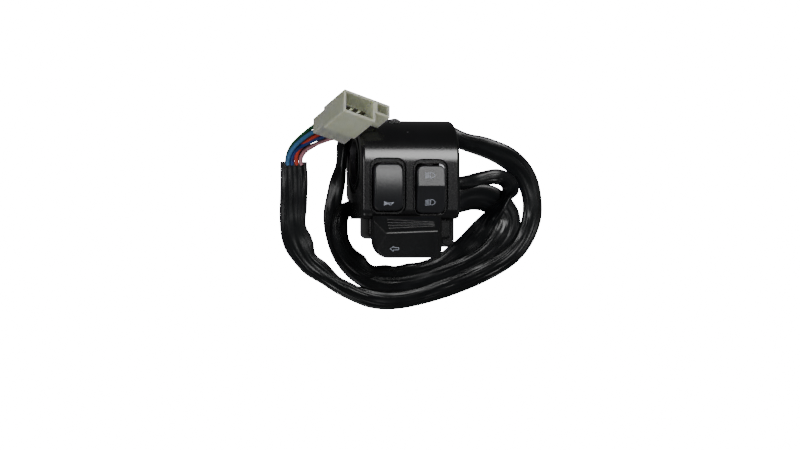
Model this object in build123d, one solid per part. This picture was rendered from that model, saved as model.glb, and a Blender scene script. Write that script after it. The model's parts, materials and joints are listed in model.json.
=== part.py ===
from build123d import *
import math
import os

# Left-hand switch cluster for a motorcycle handlebar, in millimetres.
# Origin: centre of the bar bore, halfway along the casing.
# X runs along the bar towards the rider's centre, Y away from the thumb
# buttons across the face, Z out of the button face.

# Handlebar and clamp
bar_diameter = 22.2
bar_clearance = 0.1
casing_length = 49.5
barrel_radius = 21.0
seam_gap = 0.3
overrun = 1.0

# Casing shell
wall = 2.4
end_wall = 3.2
face_bottom_y = -28.0
face_corner_radius = 4.5
end_round = 1.6
rest_flat_depth = 0.4
back_bottom_y = -19.6
back_corner_radius = 5.0
lid_depth = 29.0
rib_thickness = 2.0
rib_spacing = 16.0
collar_width = 1.9
end_groove_width = 2.4
end_groove_depth = 0.7
window_edge_round = 0.45
box_edge_round = 1.2

# Narrow box under the face that carries the turn paddle
box_left_x = -20.0
box_right_x = 22.0
box_bottom_y = -38.0
box_front_depth = 7.0
box_corner_radius = 3.0
lug_width = 7.0
lug_bottom_y = -42.0
lug_front_depth = 8.5

# Screws and screw towers
tower_radius = 4.0
left_tower_x = -8.5
left_tower_y = -32.2
right_tower_x = 18.2
right_tower_y = -35.2
top_screw_x = -5.3
top_screw_inset = 3.0
top_boss_height = 6.6
top_boss_drop = 12.7
screw_radius = 2.0
screw_clearance = 0.25
screw_head_radius = 3.2
screw_head_height = 2.6
screw_seat_depth = 4.0
screw_grip_depth = 8.0
top_screw_grip = 5.0
socket_across = 3.0
tip_chamfer = 0.5

# Horn button
horn_x = -11.8
horn_y = -12.5
horn_width = 14.9
horn_height = 23.4
horn_proud = 2.6
horn_crown_radius = 42.0
horn_corner_radius = 3.4
horn_travel = 2.5
cap_edge_round = 1.1
cap_wall = 1.7
cap_depth = 6.6
button_gap = 0.45
dish_margin = 1.3
dish_top_margin = 2.6
dish_depth = 1.0
dish_corner_radius = 4.4

# Horn switch under the button
plunger_radius = 2.4
plunger_y = -18.6
plunger_length = 12.8
plunger_collar_radius = 3.4
plunger_collar_height = 1.2
horn_cup_outer = 6.0
horn_cup_wall = 1.4
horn_cup_depth = 10.4
horn_cup_height = 13.6
bridge_thickness = 0.8
bridge_length = 7.8
bridge_width = 3.2
contact_gap = 0.2
blade_width = 1.8
blade_thickness = 0.8
blade_tail = 2.2
blade_offset = 3.3

# Posts, tabs and screws that hold the switch bodies to the face
post_radius = 2.3
post_x = -0.95
horn_post_y = -22.0
dimmer_post_y = -16.0
post_length = 12.0
tab_thickness = 1.8
tab_radius = 2.3
small_screw_radius = 1.1
small_head_radius = 2.0
small_head_height = 1.3
small_screw_length = 7.0

# Dimmer rocker
dimmer_x = 9.6
dimmer_y = -13.2
dimmer_width = 14.3
dimmer_height = 23.6
ridge_y = -11.2
ridge_proud = 2.6
rocker_end_proud = 0.9
rocker_corner_radius = 2.8
rocker_swing = 8.0
rocker_end_gap = 0.8
pivot_depth = 4.8
pivot_pin_radius = 1.2
pin_clearance = 0.05
pivot_boss_radius = 2.6
pivot_lug_thickness = 0.6
rocker_leg_radius = 2.5
rocker_leg_length = 8.0
rocker_leg_offset = 3.4
detent_bore_radius = 1.5
detent_clearance = 0.12
tray_length = 12.4
tray_wall = 1.3
tray_floor_depth = 20.4
slider_height = 5.5
slider_groove_half = 1.4
slider_groove_depth = 1.0
slider_length = 7.4
slider_gap = 0.3
ear_thickness = 1.6
ear_gap = 0.3

# Turn paddle
paddle_left_x = -19.6
paddle_right_x = 14.6
paddle_top_y = -26.5
paddle_bottom_y = -47.2
paddle_left_ridge_y = -35.3
paddle_right_ridge_y = -33.9
paddle_ridge_height = 7.4
paddle_top_height = 0.5
paddle_lip_height = 1.4
paddle_rear_depth = 3.4
paddle_corner_drop = 8.6
paddle_corner_reach = 7.4
paddle_left_facet_reach = 5.6
paddle_left_facet_drop = 5.4
paddle_right_facet_reach = 3.0
paddle_right_facet_drop = 4.6
paddle_wall = 2.0
paddle_edge_round = 0.9
paddle_ridge_round = 1.5
paddle_swing = 8.0
paddle_pin_y = -31.0
paddle_pin_depth = 3.0
paddle_pin_radius = 1.0
paddle_ear_radius = 2.3
paddle_ear_thickness = 2.4
paddle_ear_inset = 4.0
paddle_leg_x = 2.0
paddle_leg_width = 5.6
paddle_leg_thickness = 2.2
paddle_leg_length = 9.0
grip_rib_count = 4
grip_rib_radius = 0.38
grip_rib_pitch = 1.35
grip_rib_length = 23.5
grip_fan_degrees = 2.4
turn_body_length = 12.0
turn_body_low_y = -34.6
turn_body_high_y = -24.7
turn_body_depth = 9.7
turn_slider_depth = 10.8
turn_floor_depth = 16.4
turn_slider_thickness = 0.9
turn_slider_gap = 0.15
turn_gap = 0.4

# Springs
spring_wire_radius = 0.35
spring_turns = 5
spring_gap = 0.05
fine_wire_radius = 0.22
fine_spring_turns = 2.5

# Lead and grommet
sleeve_diameter = 6.4
exit_y = -10.4
exit_height = 5.8
grommet_radius = 4.2
grommet_flange_radius = 5.2
grommet_flange_thickness = 1.3
grommet_nose_length = 3.4
grommet_clearance = 0.25

# Wires
wire_diameter = 2.1
wire_pitch = 2.4
wire_entry = 4.6
wire_lead_in = 6.2
wire_rise = 8.0
wire_rise_step = 0.8
wire_columns = 4
wire_rows = 2

# Plug housing, lying over the upper left corner of the casing
plug_width = 18.4
plug_height = 12.8
plug_hood_length = 18.3
plug_tail_length = 9.6
plug_tail_step = 2.2
plug_wall = 1.3
plug_mouth_depth = 11.0
plug_corner_radius = 0.8
plug_column_pitch = 4.3
plug_row_pitch = 4.2
cell_width = 3.4
cell_height = 3.9
cell_clearance = 0.3
pin_blade_width = 2.3
pin_blade_thickness = 0.8
pin_blade_length = 4.4
latch_reach = 8.4
latch_height = 7.2
latch_length = 11.0
latch_wall = 1.2
plug_corner = Vector(-35.1, 35.2, 27.4)
plug_forward = Vector(0.392, 0.4235, 0.8175)
plug_across = Vector(0.913, -0.285, -0.290)

bore_radius = bar_diameter / 2 + bar_clearance
half_length = casing_length / 2
half_seam = seam_gap / 2
sleeve_radius = sleeve_diameter / 2

# Heights and places that follow the barrel
face_z = barrel_radius
back_z = rest_flat_depth - barrel_radius
lid_z = face_z - lid_depth
box_front_z = face_z - box_front_depth
lug_front_z = face_z - lug_front_depth
top_screw_y = barrel_radius - top_screw_inset
horn_cup_top_z = face_z - horn_cup_depth
horn_cup_floor_z = horn_cup_top_z - horn_cup_height
post_low_z = face_z - post_length
pivot_z = face_z - pivot_depth
tray_floor_z = face_z - tray_floor_depth
paddle_ridge_z = face_z + paddle_ridge_height
paddle_top_z = face_z + paddle_top_height
paddle_lip_z = face_z + paddle_lip_height
paddle_rear_z = face_z - paddle_rear_depth
paddle_pin_z = face_z - paddle_pin_depth
turn_body_top_z = face_z - turn_body_depth
turn_slider_top_z = face_z - turn_slider_depth
turn_floor_z = face_z - turn_floor_depth
exit_z = back_z + exit_height

# Route of the sleeve, from inside the grommet to its open end
sleeve_route = [
    (20.8, exit_y, exit_z),
    (33.2, exit_y, exit_z),
    (45.4, -7.6, -17.3),
    (56.8, -6.2, -17.0),
    (59.8, -13.2, -13.0),
    (54.8, -19.8, -8.2),
    (47.6, -27.2, -8.2),
    (39.8, -35.8, -15.2),
    (29.2, -45.4, -17.3),
    (12.0, -52.8, -17.35),
    (-7.0, -54.8, -17.35),
    (-19.8, -49.8, -17.35),
    (-26.3, -39.6, -17.35),
    (-26.3, -29.5, -17.35),
    (-19.6, -24.0, -17.35),
    (2.0, -23.5, -17.35),
    (25.2, -23.5, -17.35),
    (36.2, -16.4, -17.35),
    (49.2, -16.2, -17.35),
    (58.4, -25.8, -17.35),
    (55.6, -37.6, -17.35),
    (44.8, -48.2, -17.35),
    (28.6, -56.8, -17.35),
    (7.0, -61.6, -17.35),
    (-12.0, -62.0, -17.35),
    (-26.6, -55.2, -17.35),
    (-33.3, -43.0, -17.35),
    (-33.3, -28.0, -17.35),
    (-30.0, -13.0, -17.35),
    (-29.0, 2.0, -17.35),
    (-29.0, 14.4, -17.35),
    (-21.6, 20.0, -17.35),
    (-5.0, 18.2, -17.35),
    (13.0, 18.2, -17.35),
    (27.8, 17.8, -17.35),
    (40.0, 11.0, -17.35),
    (55.4, 3.2, -17.35),
    (68.2, -8.6, -17.35),
    (72.0, -23.4, -17.35),
    (66.6, -38.6, -17.35),
    (52.0, -52.4, -17.35),
    (31.6, -63.6, -17.35),
    (8.0, -69.0, -17.35),
    (-14.0, -69.2, -17.35),
    (-32.2, -60.8, -17.35),
    (-45.2, -47.6, -17.35),
    (-52.3, -33.0, -17.35),
    (-51.8, -16.0, -17.35),
    (-51.8, -1.0, -17.35),
]


def yz_prism(face, x_low, x_high):
    """A profile drawn in Y and Z, run along the bar between two places."""
    return extrude(Plane.YZ.offset(x_low) * face, x_high - x_low)


def block(x_low, x_high, y_low, y_high, z_low, z_high):
    """A plain block between six planes."""
    size = (x_high - x_low, y_high - y_low, z_high - z_low)
    centre = Pos((x_low + x_high) / 2, (y_low + y_high) / 2, (z_low + z_high) / 2)
    return centre * Box(size[0], size[1], size[2])


def upright_pin(x, y, z_low, z_high, radius):
    """A round pin along Z."""
    return Pos(x, y, (z_low + z_high) / 2) * Cylinder(radius, z_high - z_low)


def bar_pin(x_low, x_high, y, z, radius):
    """A round pin along the bar."""
    middle = Pos((x_low + x_high) / 2, y, z)
    return middle * Rot(0, 90, 0) * Cylinder(radius, x_high - x_low)


def rounded_post(x, y, width, height, radius, z_low, z_high):
    """A post with a rounded rectangular section."""
    face = Pos(x, y, z_low) * RectangleRounded(width, height, radius)
    return extrude(face, z_high - z_low)


def front_profile(inset):
    """Barrel top and flat face of the front half, drawn in from its outside."""
    radius = barrel_radius - inset
    low = face_bottom_y + inset
    corner = face_corner_radius - inset
    start = math.degrees(math.asin(half_seam / radius))
    arc = CenterArc((0, 0), radius, start, 90 - start)
    face_line = Line((0, radius), (low + corner, radius))
    bend = TangentArc((low + corner, radius), (low, radius - corner), tangent=(-1, 0))
    down = Line((low, radius - corner), (low, half_seam))
    along = Line((low, half_seam), arc @ 0)
    return make_face([arc, face_line, bend, down, along])


def back_profile(inset):
    """Barrel back, flat rest and lead duct of the rear half."""
    radius = barrel_radius - inset
    back = back_z + inset
    low = back_bottom_y + inset
    corner = back_corner_radius - inset
    flat_y = radius + back + half_seam
    arc = TangentArc((flat_y, back), (radius, -half_seam), tangent=(1, 0))
    rest = Line((flat_y, back), (low + corner, back))
    bend = TangentArc((low + corner, back), (low, back + corner), tangent=(-1, 0))
    side = Line((low, back + corner), (low, -half_seam))
    along = Line((low, -half_seam), (radius, -half_seam))
    return make_face([arc, rest, bend, side, along])


def end_edges(solid, z_sign):
    """Outer edges of both end faces, clear of the seam."""
    picked = []
    for face in (solid.faces().sort_by(Axis.X)[0], solid.faces().sort_by(Axis.X)[-1]):
        for edge in face.edges():
            if edge.center().Z * z_sign > seam_gap:
                picked.append(edge)
    return picked


def rounded_front(post):
    """A post with its front rim rounded."""
    return fillet(post.faces().sort_by(Axis.Z)[-1].edges(), box_edge_round)


def lower_box(inset, z_low, z_high):
    """The narrow box under the face, between two heights."""
    width = box_right_x - box_left_x - 2 * inset
    top_y = face_bottom_y + box_corner_radius + wall
    height = top_y - box_bottom_y - 2 * inset
    x = (box_left_x + box_right_x) / 2
    y = (top_y + box_bottom_y) / 2
    return rounded_post(x, y, width, height, box_corner_radius - inset / 2, z_low, z_high)


def side_lug(z_low, z_high):
    """Rounded lug at the lower right corner, round the lower screw."""
    x_high = box_right_x + lug_width / 4
    x = x_high - lug_width / 2
    height = face_bottom_y - lug_bottom_y + lug_width
    y = lug_bottom_y + height / 2
    return rounded_post(x, y, lug_width, height, lug_width / 2 - end_round / 4, z_low, z_high)


def screw_places():
    """Places of the three casing screws, and how deep each goes into the front half."""
    return [
        (left_tower_x, left_tower_y, screw_grip_depth),
        (right_tower_x, right_tower_y, screw_grip_depth),
        (top_screw_x, top_screw_y, top_screw_grip),
    ]


def barrel_bore():
    """The space of the bar, past both ends."""
    return bar_pin(-half_length - overrun, half_length + overrun, 0, 0, bore_radius)


def button_windows():
    """Dished recesses and openings for the horn button and the rocker."""
    cut = None
    places = [(horn_x, horn_y, horn_width, horn_height, horn_corner_radius, button_gap)]
    rocker = (dimmer_x, dimmer_y, dimmer_width, dimmer_height, rocker_corner_radius, rocker_end_gap)
    places.append(rocker)
    for x, y, width, height, radius, end_gap in places:
        tall = height + dish_margin + dish_top_margin
        dish_y = y + (dish_top_margin - dish_margin) / 2
        dish_width = width + 2 * dish_margin
        top = face_z + overrun
        dish = rounded_post(x, dish_y, dish_width, tall, dish_corner_radius, face_z - dish_depth, top)
        dish = dish + window_lip(x, dish_y, dish_width, tall)
        opening_width = width + 2 * button_gap
        opening_height = height + 2 * end_gap
        opening_low = face_z - wall - overrun
        opening = rounded_post(x, y, opening_width, opening_height, radius, opening_low, top)
        piece = dish + opening
        cut = piece if cut is None else cut + piece
    return cut


def window_lip(x, y, width, height):
    """Flared top of a recess, which softens its edge in the face."""
    low = face_z - window_edge_round
    wide = width + 2 * window_edge_round
    tall = height + 2 * window_edge_round
    first = Pos(x, y, low) * RectangleRounded(width, height, dish_corner_radius)
    last = Pos(x, y, face_z) * RectangleRounded(wide, tall, dish_corner_radius + window_edge_round)
    lip = loft([first, last], ruled=True)
    return lip + rounded_post(
        x, y, wide, tall, dish_corner_radius + window_edge_round, face_z, face_z + overrun
    )


def make_front_casing():
    """Front half: shell, bar saddles, screw posts, windows and paddle box."""
    outer = yz_prism(front_profile(0), -half_length, half_length)
    outer = fillet(end_edges(outer, 1), end_round)
    outer += rounded_front(lower_box(0, half_seam, box_front_z))
    outer += rounded_front(side_lug(half_seam, lug_front_z))
    inner = yz_prism(front_profile(wall), -half_length + end_wall, half_length - end_wall)
    inner += lower_box(wall, half_seam - overrun, box_front_z - wall)
    shell = outer - inner
    inner_radius = barrel_radius - wall / 2
    for x in (-rib_spacing / 2, rib_spacing / 2):
        low = x - rib_thickness / 2
        rib = yz_prism(front_profile(wall / 2), low, low + rib_thickness)
        shell += rib & block(low, low + rib_thickness, 0, inner_radius, half_seam, inner_radius)
    for x, y, grip in screw_places():
        if y < 0:
            shell += upright_pin(x, y, half_seam, box_front_z - wall / 2, tower_radius) & outer
        else:
            shell += top_boss(half_seam, top_boss_height)
    shell -= barrel_bore()
    shell -= end_grooves()
    shell -= button_windows()
    leg_room = paddle_leg_thickness / 2 + turn_gap
    leg_low = paddle_pin_y - leg_room
    leg_high = paddle_pin_y + leg_room + leg_swing()
    half = paddle_leg_width / 2 + turn_gap
    window = block(
        paddle_leg_x - half,
        paddle_leg_x + half,
        leg_low,
        leg_high,
        box_front_z - 2 * wall,
        box_front_z + overrun,
    )
    shell -= window
    for y in (horn_post_y, dimmer_post_y):
        shell += upright_pin(post_x, y, post_low_z, face_z - wall / 2, post_radius)
        shell -= upright_pin(post_x, y, post_low_z - overrun, face_z - wall, small_screw_radius)
    for x in paddle_ear_places():
        shell += paddle_bracket(x)
    for x, y, grip in screw_places():
        shell -= upright_pin(x, y, half_seam - overrun, grip, screw_radius)
    return shell


def top_boss(z_low, z_high):
    """Round boss of the top screw, standing a little out of the barrel."""
    boss = upright_pin(top_screw_x, top_screw_y, z_low, z_high, tower_radius)
    far = 1 if z_high > -half_seam else -1
    rim = boss.edges().filter_by(GeomType.CIRCLE).sort_by(Axis.Z)
    return fillet(rim[-1] if far > 0 else rim[0], tip_chamfer)


def end_grooves():
    """Shallow ring round the collar of the bore, in both end faces."""
    inner = bore_radius + collar_width
    rings = None
    for side in (-1, 1):
        deep = side * (half_length - end_groove_depth)
        past = side * (half_length + overrun)
        low, high = min(deep, past), max(deep, past)
        ring = bar_pin(low, high, 0, 0, inner + end_groove_width) - bar_pin(low, high, 0, 0, inner)
        rings = ring if rings is None else rings + ring
    return rings


def leg_swing():
    """How far the paddle's leg moves across at its tip."""
    return paddle_leg_length * math.sin(math.radians(paddle_swing))


def paddle_ear_places():
    """Inner faces of the two brackets that carry the paddle's pin."""
    reach = paddle_ear_inset + paddle_ear_thickness + turn_gap
    return [paddle_left_x + reach, paddle_right_x - reach - paddle_ear_thickness]


def paddle_bracket(x):
    """One bracket on the box that holds the paddle's pin."""
    high = x + paddle_ear_thickness
    ear = bar_pin(x, high, paddle_pin_y, paddle_pin_z, paddle_ear_radius)
    low_y = paddle_pin_y - paddle_ear_radius
    high_y = paddle_pin_y + paddle_ear_radius
    ear += block(x, high, low_y, high_y, box_front_z - wall / 2, paddle_pin_z)
    hole = bar_pin(x - overrun, high + overrun, paddle_pin_y, paddle_pin_z, paddle_pin_radius)
    return ear - hole


def make_rear_casing():
    """Rear half: barrel back, lead duct, lid of the box and screw towers."""
    outer = yz_prism(back_profile(0), -half_length, half_length)
    outer = fillet(end_edges(outer, -1), end_round)
    inner = yz_prism(back_profile(wall), -half_length + end_wall, half_length - end_wall)
    shelf_low = face_bottom_y
    shelf = block(-half_length, half_length, shelf_low, back_bottom_y + wall, lid_z, -half_seam)
    room = block(
        -half_length + end_wall,
        half_length - end_wall,
        shelf_low + wall,
        back_bottom_y + wall,
        lid_z + wall,
        0,
    )
    lid = lower_box(0, lid_z, -half_seam) + side_lug(lid_z, -half_seam)
    lid_room = lower_box(wall, lid_z + wall, 0)
    shell = (outer + shelf + lid) - inner - room - lid_room
    for x in (-rib_spacing / 2, rib_spacing / 2):
        low = x - rib_thickness / 2
        rib = yz_prism(back_profile(wall / 2), low, low + rib_thickness)
        shell += rib & block(low, low + rib_thickness, 0, barrel_radius, back_z, -half_seam)
    for x, y, grip in screw_places():
        if y < 0:
            shell += upright_pin(x, y, back_z, -half_seam, tower_radius)
        else:
            shell += top_boss(-top_boss_drop, -half_seam)
    shell -= barrel_bore()
    shell -= end_grooves()
    for x, y, grip in screw_places():
        shell -= upright_pin(x, y, back_z - overrun, overrun, screw_radius + screw_clearance)
        seat = screw_seat_z(y)
        shell -= upright_pin(x, y, back_z - overrun, seat, screw_head_radius + screw_clearance)
    wall_x = half_length - end_wall - overrun
    shell -= bar_pin(wall_x, half_length + overrun, exit_y, exit_z, grommet_radius + pin_clearance)
    return shell


def screw_seat_z(y):
    """Height of the shoulder that a casing screw's head pulls on."""
    return back_z + screw_seat_depth if y < 0 else back_z / 2


def make_casing_screws():
    """Three socket head screws, heads in the rear towers."""
    screws = []
    for x, y, grip in screw_places():
        seat = screw_seat_z(y)
        head = upright_pin(x, y, seat - screw_head_height, seat, screw_head_radius)
        shank = upright_pin(x, y, seat, grip - tip_chamfer, screw_radius)
        tip = shank.edges().sort_by(Axis.Z)[-1]
        shank = chamfer(tip, tip_chamfer)
        socket = extrude(
            Pos(x, y, seat - screw_head_height) * RegularPolygon(socket_across / 2, 6),
            screw_head_height / 2,
        )
        screws.append(head + shank - socket)
    return screws


def make_horn_button():
    """Crowned cap with a hollow underside."""
    top = face_z + horn_proud
    low = face_z + horn_proud - cap_depth
    cap = rounded_post(horn_x, horn_y, horn_width, horn_height, horn_corner_radius, low, top)
    crown = bar_pin(
        horn_x - horn_width,
        horn_x + horn_width,
        horn_y,
        top - horn_crown_radius,
        horn_crown_radius,
    )
    cap = cap & crown
    rim = cap.faces().sort_by(Axis.Z)[-1].edges()
    cap = fillet(rim, cap_edge_round)
    hollow_width = horn_width - 2 * cap_wall
    hollow_height = horn_height - 2 * cap_wall
    hollow_top = top - cap_wall - cap_edge_round * 2
    cap -= rounded_post(
        horn_x,
        horn_y,
        hollow_width,
        hollow_height,
        horn_corner_radius - cap_wall,
        low - overrun,
        hollow_top,
    )
    return cap


def plunger_top():
    """Height at which the plunger meets the underside of the horn cap."""
    return face_z + horn_proud - cap_wall - cap_edge_round * 2


def make_horn_plunger():
    """Round plunger with the collar that the spring pushes on."""
    top = plunger_top()
    low = top - plunger_length
    plunger = upright_pin(horn_x, plunger_y, low, top, plunger_radius)
    collar_low = horn_cup_top_z + horn_travel + contact_gap
    collar_high = collar_low + plunger_collar_height
    plunger += upright_pin(horn_x, plunger_y, collar_low, collar_high, plunger_collar_radius)
    return plunger


def bridge_low_z():
    """Underside of the horn's contact bridge at rest."""
    return plunger_top() - plunger_length - bridge_thickness


def make_horn_bridge():
    """Contact bridge on the end of the plunger."""
    low = bridge_low_z()
    half = bridge_length / 2
    side = bridge_width / 2
    high = low + bridge_thickness
    return block(horn_x - half, horn_x + half, plunger_y - side, plunger_y + side, low, high)


def screw_tab(x_low, x_high, y):
    """Tab with a hole that a small screw holds to a post of the face."""
    high = post_low_z
    low = high - tab_thickness
    tab = block(x_low, x_high, y - tab_radius, y + tab_radius, low, high)
    tab += upright_pin(post_x, y, low, high, tab_radius)
    return tab - upright_pin(post_x, y, low - overrun, high + overrun, small_screw_radius + pin_clearance)


def make_horn_cup():
    """Cup that guides the plunger and carries the blades."""
    low = horn_cup_floor_z
    cup = upright_pin(horn_x, plunger_y, low, horn_cup_top_z, horn_cup_outer)
    cup += screw_tab(horn_x + horn_cup_outer / 2, post_x, horn_post_y)
    room_radius = horn_cup_outer - horn_cup_wall
    room_low = low + horn_cup_wall
    room_high = horn_cup_top_z - horn_cup_wall
    cup -= upright_pin(horn_x, plunger_y, room_low, room_high, room_radius)
    guide = plunger_radius + pin_clearance
    cup -= upright_pin(horn_x, plunger_y, room_low, horn_cup_top_z + overrun, guide)
    for x in blade_places(horn_x):
        cup -= blade(x, plunger_y, low - overrun, low + 2 * horn_cup_wall, pin_clearance)
    return cup


def make_switch_screws():
    """Two small screws that hold the switch bodies to the face."""
    screws = []
    for y in (horn_post_y, dimmer_post_y):
        seat = post_low_z - tab_thickness
        head = upright_pin(post_x, y, seat - small_head_height, seat, small_head_radius)
        rim = head.edges().filter_by(GeomType.CIRCLE).sort_by(Axis.Z)[0]
        head = fillet(rim, small_head_height / 2)
        shank = upright_pin(post_x, y, seat, seat + small_screw_length, small_screw_radius)
        screws.append(head + shank)
    return screws


def blade_places(x):
    """Places of the two blades of a switch."""
    return [x - blade_offset, x + blade_offset]


def blade(x, y, z_low, z_high, gap):
    """One flat terminal blade, or its slot with a gap all round."""
    half = blade_width / 2 + gap
    side = blade_thickness / 2 + gap
    return block(x - half, x + half, y - side, y + side, z_low, z_high)


def make_horn_blades():
    """Two blades through the floor of the horn cup."""
    high = bridge_low_z() - horn_travel - contact_gap
    low = horn_cup_floor_z - blade_tail
    return [blade(x, plunger_y, low, high, 0) for x in blade_places(horn_x)]


def coil_spring(x, y, z_low, z_high, radius, turns, wire_radius):
    """A round wire spring with its axis along Z."""
    height = z_high - z_low - 2 * wire_radius
    start = z_low + wire_radius
    path = Pos(x, y, start) * Helix(height / turns, height, radius)
    section = Plane(origin=path @ 0, z_dir=path % 0) * Circle(wire_radius)
    return sweep(section, path=path)


def make_horn_spring():
    """Return spring between the cup's floor and the contact bridge."""
    low = horn_cup_floor_z + horn_cup_wall + spring_gap
    high = bridge_low_z() - spring_gap
    radius = plunger_radius - 2 * spring_wire_radius
    return coil_spring(horn_x, plunger_y, low, high, radius, spring_turns, spring_wire_radius)


def rocker_turn():
    """Turn from the rocker's level position to the side that rests pushed in."""
    return Pos(0, dimmer_y, pivot_z) * Rot(rocker_swing / 2, 0, 0) * Pos(0, -dimmer_y, -pivot_z)


def make_dimmer_rocker():
    """Two-faced rocker cap with pivot lugs and a hollow leg."""
    high_y = dimmer_y + dimmer_height / 2
    low_y = dimmer_y - dimmer_height / 2
    ridge_z = face_z + ridge_proud
    end_z = face_z + rocker_end_proud
    low_z = face_z + ridge_proud - cap_depth
    belly_z = pivot_z - pivot_pin_radius
    outline = Polyline(
        (high_y, low_z),
        (high_y, end_z),
        (ridge_y, ridge_z),
        (low_y, end_z),
        (low_y, low_z),
        (dimmer_y, belly_z),
        close=True,
    )
    left = dimmer_x - dimmer_width / 2
    right = dimmer_x + dimmer_width / 2
    body = yz_prism(make_face(outline), left, right)
    body &= rounded_post(
        dimmer_x,
        dimmer_y,
        dimmer_width,
        dimmer_height,
        rocker_corner_radius,
        belly_z - overrun,
        ridge_z + overrun,
    )
    rim = body.edges().filter_by(lambda edge: edge.center().Z > end_z - cap_edge_round)
    body = fillet(rim, cap_edge_round * 0.7)
    hollow = block(
        left + cap_wall,
        right - cap_wall,
        low_y + cap_wall,
        high_y - cap_wall,
        belly_z - overrun,
        ridge_z - cap_wall - cap_edge_round * 2,
    )
    body -= hollow
    lug_left = dimmer_x - rocker_leg_radius - pivot_lug_thickness
    lug_right = dimmer_x + rocker_leg_radius + pivot_lug_thickness
    body += bar_pin(lug_left, lug_right, dimmer_y, pivot_z, pivot_boss_radius)
    leg_low = pivot_z - rocker_leg_length
    leg_top = face_z
    leg_y = dimmer_y - rocker_leg_offset
    body += upright_pin(dimmer_x, leg_y, leg_low, leg_top, rocker_leg_radius)
    pin_hole = pivot_pin_radius + pin_clearance
    body -= bar_pin(left - overrun, right + overrun, dimmer_y, pivot_z, pin_hole)
    body -= upright_pin(dimmer_x, leg_y, leg_low - overrun, pivot_z, detent_bore_radius)
    return rocker_turn() * body


def detent_ball_radius():
    """Radius of the detent ball in its bore."""
    return detent_bore_radius - detent_clearance


def make_detent_ball():
    """Steel ball at the tip of the rocker's leg."""
    place = Pos(dimmer_x, dimmer_y - rocker_leg_offset, pivot_z - rocker_leg_length)
    return rocker_turn() * place * Sphere(detent_ball_radius())


def make_detent_spring():
    """Spring in the leg that pushes the ball out."""
    radius = detent_ball_radius()
    low = pivot_z - rocker_leg_length + radius + spring_gap
    high = pivot_z - spring_gap
    coil = coil_spring(
        dimmer_x,
        dimmer_y - rocker_leg_offset,
        low,
        high,
        radius - spring_wire_radius,
        spring_turns,
        spring_wire_radius,
    )
    return rocker_turn() * coil


def ear_reach():
    """Inner and outer faces of the tray's ears, from the rocker's middle."""
    inner = rocker_leg_radius + pivot_lug_thickness + ear_gap
    return inner, inner + ear_thickness


def make_dimmer_pin():
    """Steel pin through the rocker, held in the tray's ears."""
    reach = ear_reach()[1]
    return bar_pin(dimmer_x - reach, dimmer_x + reach, dimmer_y, pivot_z, pivot_pin_radius)


def leg_tip_y():
    """Middle of the leg's tip while the rocker rests on one side."""
    angle = math.radians(rocker_swing / 2)
    across = -rocker_leg_offset * math.cos(angle) + rocker_leg_length * math.sin(angle)
    return dimmer_y + across


def tray_limits():
    """Lowest and highest Y of the dimmer's tray, kept clear of the bar."""
    high = -bore_radius - slider_gap
    return high - tray_length, high


def make_dimmer_tray():
    """Open tray that carries the rocker's pin and guides the slider."""
    low_y, high_y = tray_limits()
    inner, outer = ear_reach()
    left = dimmer_x - outer
    right = dimmer_x + outer
    floor_z = tray_floor_z
    top_z = floor_z + tray_wall + slider_height + slider_gap
    tray = block(left, right, low_y, high_y, floor_z, top_z)
    ear_low = dimmer_y - pivot_boss_radius
    for low_x, high_x in ((left, left + ear_thickness), (right - ear_thickness, right)):
        tray += block(low_x, high_x, ear_low, high_y, floor_z, pivot_z)
        tray += bar_pin(low_x, high_x, dimmer_y, pivot_z, pivot_boss_radius)
    tray += screw_tab(post_x, left, dimmer_post_y)
    room_low = low_y + tray_wall
    room_high = high_y - tray_wall / 2
    room_top = pivot_z + pivot_boss_radius + overrun
    tray -= block(dimmer_x - inner, dimmer_x + inner, room_low, room_high, floor_z + tray_wall, room_top)
    tray -= block(dimmer_x - inner, dimmer_x + inner, room_low, 0, top_z, room_top)
    tray -= bar_pin(left - overrun, right + overrun, dimmer_y, pivot_z, pivot_pin_radius)
    for x in tray_blade_places():
        tray -= blade(x, slider_middle_y(), floor_z - overrun, floor_z + 2 * tray_wall, pin_clearance)
    return tray


def slider_middle_y():
    """Middle of the slider at rest, pushed to the high end of the tray."""
    return tray_limits()[1] - tray_wall / 2 - slider_gap - slider_length / 2


def tray_blade_places():
    """Places of the two blades of the dimmer, side by side."""
    return [dimmer_x - blade_width, dimmer_x + blade_width]


def make_dimmer_slider():
    """Contact slider with the groove that takes the rocker's ball."""
    low_z = tray_floor_z + tray_wall + bridge_thickness + 2 * pin_clearance
    high_z = tray_floor_z + tray_wall + slider_height
    middle = slider_middle_y()
    half = slider_length / 2
    side = ear_reach()[0] - slider_gap
    left = dimmer_x - side
    right = dimmer_x + side
    slider = block(left, right, middle - half, middle + half, low_z, high_z)
    groove_low = leg_tip_y() - slider_groove_half
    groove_high = leg_tip_y() + slider_groove_half
    groove_z = high_z - slider_groove_depth
    groove = block(left - overrun, right + overrun, groove_low, groove_high, groove_z, high_z + overrun)
    return slider - groove


def make_dimmer_contact():
    """Contact plate under the slider."""
    low_z = tray_floor_z + tray_wall + pin_clearance
    middle = slider_middle_y()
    half = slider_length / 2
    side = bridge_width / 2
    high_z = low_z + bridge_thickness
    return block(dimmer_x - side, dimmer_x + side, middle - half, middle + half, low_z, high_z)


def make_dimmer_blades():
    """Blades through the floor of the dimmer's tray."""
    high = tray_floor_z + tray_wall
    low = tray_floor_z - blade_tail
    return [blade(x, slider_middle_y(), low, high, 0) for x in tray_blade_places()]


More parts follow.
